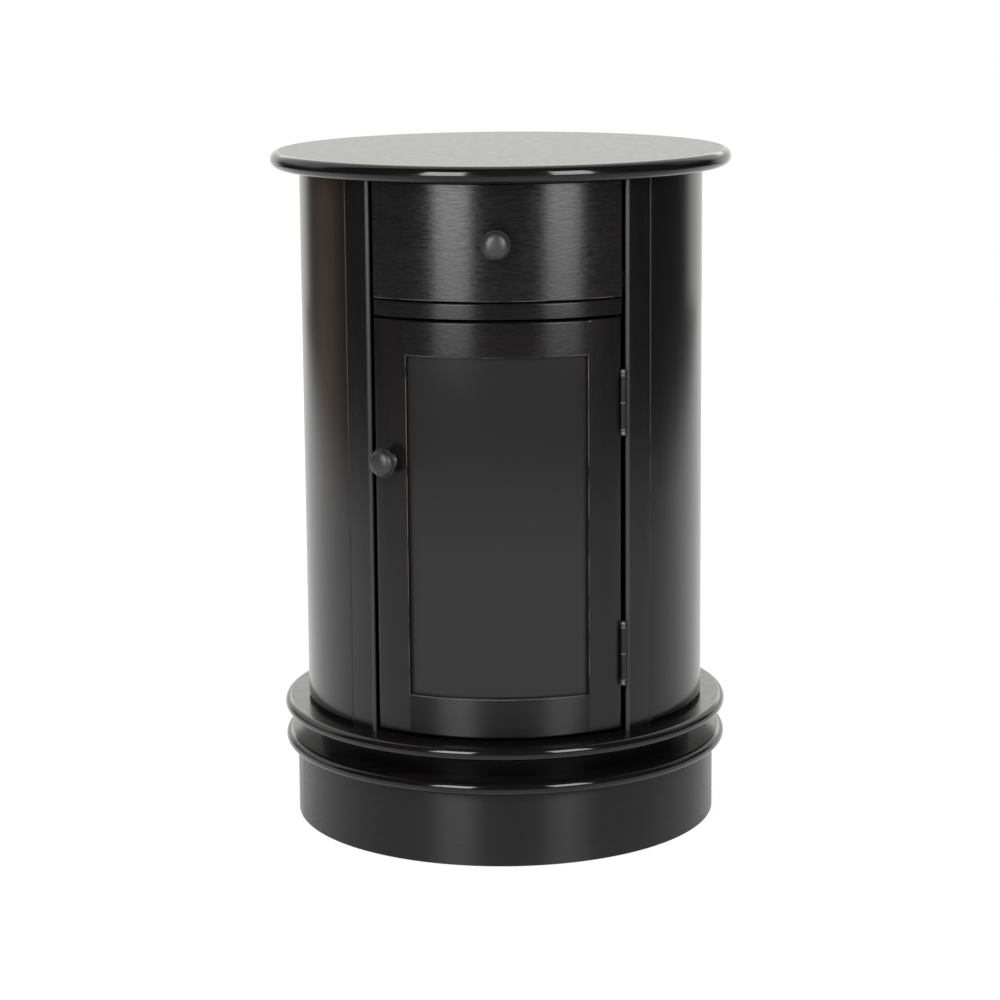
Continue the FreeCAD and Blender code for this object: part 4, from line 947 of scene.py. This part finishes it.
# %% Knobs
KNOB_STEPS = 64
KNOB_STEM_MM = [(7.5, 0.0), (7.5, 1.2), (7.2, 1.5), (6.2, 2.8), (5.65, 4.4), (5.5, 6.0), (5.7, 7.6), (6.4, 9.3),
                (7.6, 10.8), (9.3, 12.1), (12.15, 13.0), (13.35, 13.0), (13.75, 13.4), (13.75, 14.6), (13.35, 15.0),
                (12.95, 15.0)]
CROWN_FOOT_MM, CROWN_HEAD_MM, CROWN_RADIUS_MM = 15.0, 23.0, 12.85
CROWN_STEPS = 14
CROWN_FULLNESS = 2.5    # 2 is an ellipse, more is fuller
SEAT = 0.06 * MM

crown = []
for index in range(CROWN_STEPS):
    climb = math.pi / 2 * index / CROWN_STEPS
    crown.append((CROWN_RADIUS_MM * math.cos(climb) ** (2 / CROWN_FULLNESS),
                  CROWN_FOOT_MM + (CROWN_HEAD_MM - CROWN_FOOT_MM) * math.sin(climb) ** (2 / CROWN_FULLNESS)))
knob_rings = [(radius * MM, level * MM) for radius, level in KNOB_STEM_MM + crown]


def turn_rings(piece, rings):
    """Draws a filled circle up through rings of given radius and level, as on a lathe."""
    bpy.ops.object.mode_set(mode="EDIT")
    bpy.ops.mesh.select_all(action="SELECT")
    for (radius, level), (next_radius, next_level) in zip(rings, rings[1:]):
        bpy.ops.mesh.extrude_region_move(TRANSFORM_OT_translate={"value": (0, 0, next_level - level)})
        share = next_radius / radius
        bpy.ops.transform.resize(value=(share, share, 1), center_override=(0, 0, next_level))
    bpy.ops.mesh.merge(type="CENTER")
    bpy.ops.mesh.select_all(action="SELECT")
    bpy.ops.mesh.normals_make_consistent(inside=False)
    bpy.ops.object.mode_set(mode="OBJECT")


def knob(name, source, angle, body):
    """A knob on the curved front, at an angle from the middle."""
    low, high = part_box(source)
    piece = start(bpy.ops.mesh.primitive_circle_add, name, [bronze], vertices=KNOB_STEPS,
                  radius=knob_rings[0][0], fill_type="NGON")
    turn_rings(piece, knob_rings)
    seat = front_radius + SEAT
    piece.location = (seat * math.sin(angle), -seat * math.cos(angle), (low.z + high.z) / 2)
    piece.rotation_euler = (math.pi / 2, 0, angle)
    bpy.ops.object.transform_apply(location=True, rotation=True, scale=False)
    complete(piece, body, "dark_bronze", source)


stile_low, stile_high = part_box("door_latch_stile")
knob("drawer_pull", "drawer_knob", 0, "drawer")
knob("door_pull", "door_knob", math.asin((stile_low.x + stile_high.x) / 2 / front_radius), "door")

# %% [markdown]
# ## Woods of the inside
# Inside, the boards are stained dark under a thin coat, and the runners, blocks and dowels are bare hardwood.
# These pieces keep their construction meshes. One function makes both woods: long streaks, fine pores and a
# satin or dull surface. The grain runs along each board's longest side, because wood is sawn that way.

# %% Woods of the inside
WOOD_BAND_LENGTH = 240.0 * MM
WOOD_BAND_WIDTH = 14.0 * MM
PORE_LENGTH = 9.0 * MM
PORE_WIDTH = 0.7 * MM          # drawn about twice as wide as real pores, so that they show
BAND_LOW, BAND_HIGH = 0.3, 0.7
PORE_FROM, PORE_FULL, PORE_SHARE = 0.58, 0.72, 0.45
PORE_DEPTH, PORE_STRENGTH = 0.05 * MM, 0.4
STAINED_DARK, STAINED_LIGHT = "#20150f", "#3b281c"
BARE_DARK, BARE_LIGHT = "#9c7a52", "#c9a678"
ALONG_Y = (False, True, False)


def wood(name, grain, dark, light, roughness):
    """Planed wood: broad bands of colour with fine pores along the grain."""
    material, tree = fresh_material(name)
    bands = streaks(tree, grain, WOOD_BAND_LENGTH, WOOD_BAND_WIDTH, detail=4)
    pores = streaks(tree, grain, PORE_LENGTH, PORE_WIDTH, detail=2)
    share = node(tree, "MapRange", {"Value": bands, "From Min": BAND_LOW, "From Max": BAND_HIGH})
    ground = node(tree, "Mix", {0: share.outputs[0], 6: colour(dark), 7: colour(light)}, data_type="RGBA")
    open_pore = node(tree, "MapRange", {"Value": pores, "From Min": PORE_FROM, "From Max": PORE_FULL,
                                        "To Max": PORE_SHARE})
    toned = node(tree, "Mix", {0: open_pore.outputs[0], 6: ground.outputs[2], 7: colour(dark)}, data_type="RGBA")
    hollow = node(tree, "Bump", {"Height": pores, "Strength": PORE_STRENGTH, "Distance": PORE_DEPTH}, invert=True)
    surface = node(tree, "BsdfPrincipled", {"Base Color": toned.outputs[2], "Roughness": roughness, "IOR": FILM_IOR,
                                            "Normal": hollow.outputs[0]})
    node(tree, "OutputMaterial", {"Surface": surface.outputs[0]})
    return material


stained_wood, bare_wood = {}, {}
for way, axes in {"across": ALONG_X, "deep": ALONG_Y, "upright": ALONG_Z}.items():
    stained_wood[way] = wood("dark_stained_wood_" + way, axes, STAINED_DARK, STAINED_LIGHT, roughness=0.38)
    bare_wood[way] = wood("bare_hardwood_" + way, axes, BARE_DARK, BARE_LIGHT, roughness=0.6)
print("Woods:", len(stained_wood) + len(bare_wood))

# %% [markdown]
# ## Small metal and plastic
# Turned aluminium rings, polished balls, zinc plated screws, a moulded catch and nylon glides differ in colour,
# gloss and a little grain. They are small and mostly hidden, so one function with a fine grit does for all.
# Each construction node then gets the finish of its slot in the record. The lacquer here is for the disc in
# the swivel gap, the one lacquered piece that keeps its construction mesh: it is dull and mirrors little.

# %% Small metal and plastic
GRIT = 0.8 * MM
GRIT_DEPTH, GRIT_STRENGTH = 0.02 * MM, 0.2
GRIT_GLOSS = 0.3    # share of the roughness by which it varies


def metal_or_plastic(name, code, darker, metallic, roughness):
    """A metal or plastic with a fine uneven surface."""
    material, tree = fresh_material(name)
    grit = streaks(tree, NO_GRAIN, GRIT, GRIT, detail=3)
    base = node(tree, "Mix", {0: grit, 6: colour(code), 7: colour(darker)}, data_type="RGBA")
    rough = node(tree, "MapRange", {"Value": grit, "To Min": roughness * (1 - GRIT_GLOSS),
                                    "To Max": roughness * (1 + GRIT_GLOSS)})
    uneven = node(tree, "Bump", {"Height": grit, "Strength": GRIT_STRENGTH, "Distance": GRIT_DEPTH})
    surface = node(tree, "BsdfPrincipled", {"Base Color": base.outputs[2], "Metallic": metallic,
                                            "Roughness": rough.outputs[0], "Normal": uneven.outputs[0]})
    node(tree, "OutputMaterial", {"Surface": surface.outputs[0]})
    return material


slot_finishes = {
    "bright_aluminium": metal_or_plastic("turned_aluminium", "#d6d8d9", "#b9bcbe", metallic=1, roughness=0.28),
    "bearing_steel": metal_or_plastic("polished_bearing_steel", "#d0d0d0", "#b4b4b4", metallic=1, roughness=0.12),
    "zinc_plated_steel": metal_or_plastic("zinc_plated_steel", "#c4c4bd", "#9d9e99", metallic=1, roughness=0.35),
    "black_plastic": metal_or_plastic("moulded_black_plastic", "#26262a", "#1d1d1f", metallic=0, roughness=0.45),
    "magnet_steel": metal_or_plastic("ground_magnet_steel", "#9a9a9a", "#7c7c7c", metallic=1, roughness=0.4),
    "white_nylon": metal_or_plastic("moulded_white_nylon", "#e6e3da", "#d8d4c8", metallic=0, roughness=0.5),
    "dark_bronze": bronze,
    "aged_brass": aged_brass,
    "black_lacquer": black_lacquer("dull_black_lacquer_on_pad", LEVEL, brown_share=0.0, roughness=0.3,
                                   depth=0.01 * MM, ior=1.2),
}
for subpart in frame["record"]["subparts"]:
    name, slot = subpart["node"], subpart["material_slot"]
    low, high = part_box(name)
    size = high - low
    way = "upright" if size.z > max(size.x, size.y) else "deep" if size.y > size.x else "across"
    wood_finishes = {"dark_stained_wood": stained_wood[way], "bare_hardwood": bare_wood[way]}
    finish = hinge_finishes.get(name) or wood_finishes.get(slot) or slot_finishes[slot]
    for holder in frame["nodes"][name].material_slots:
        holder.material = finish
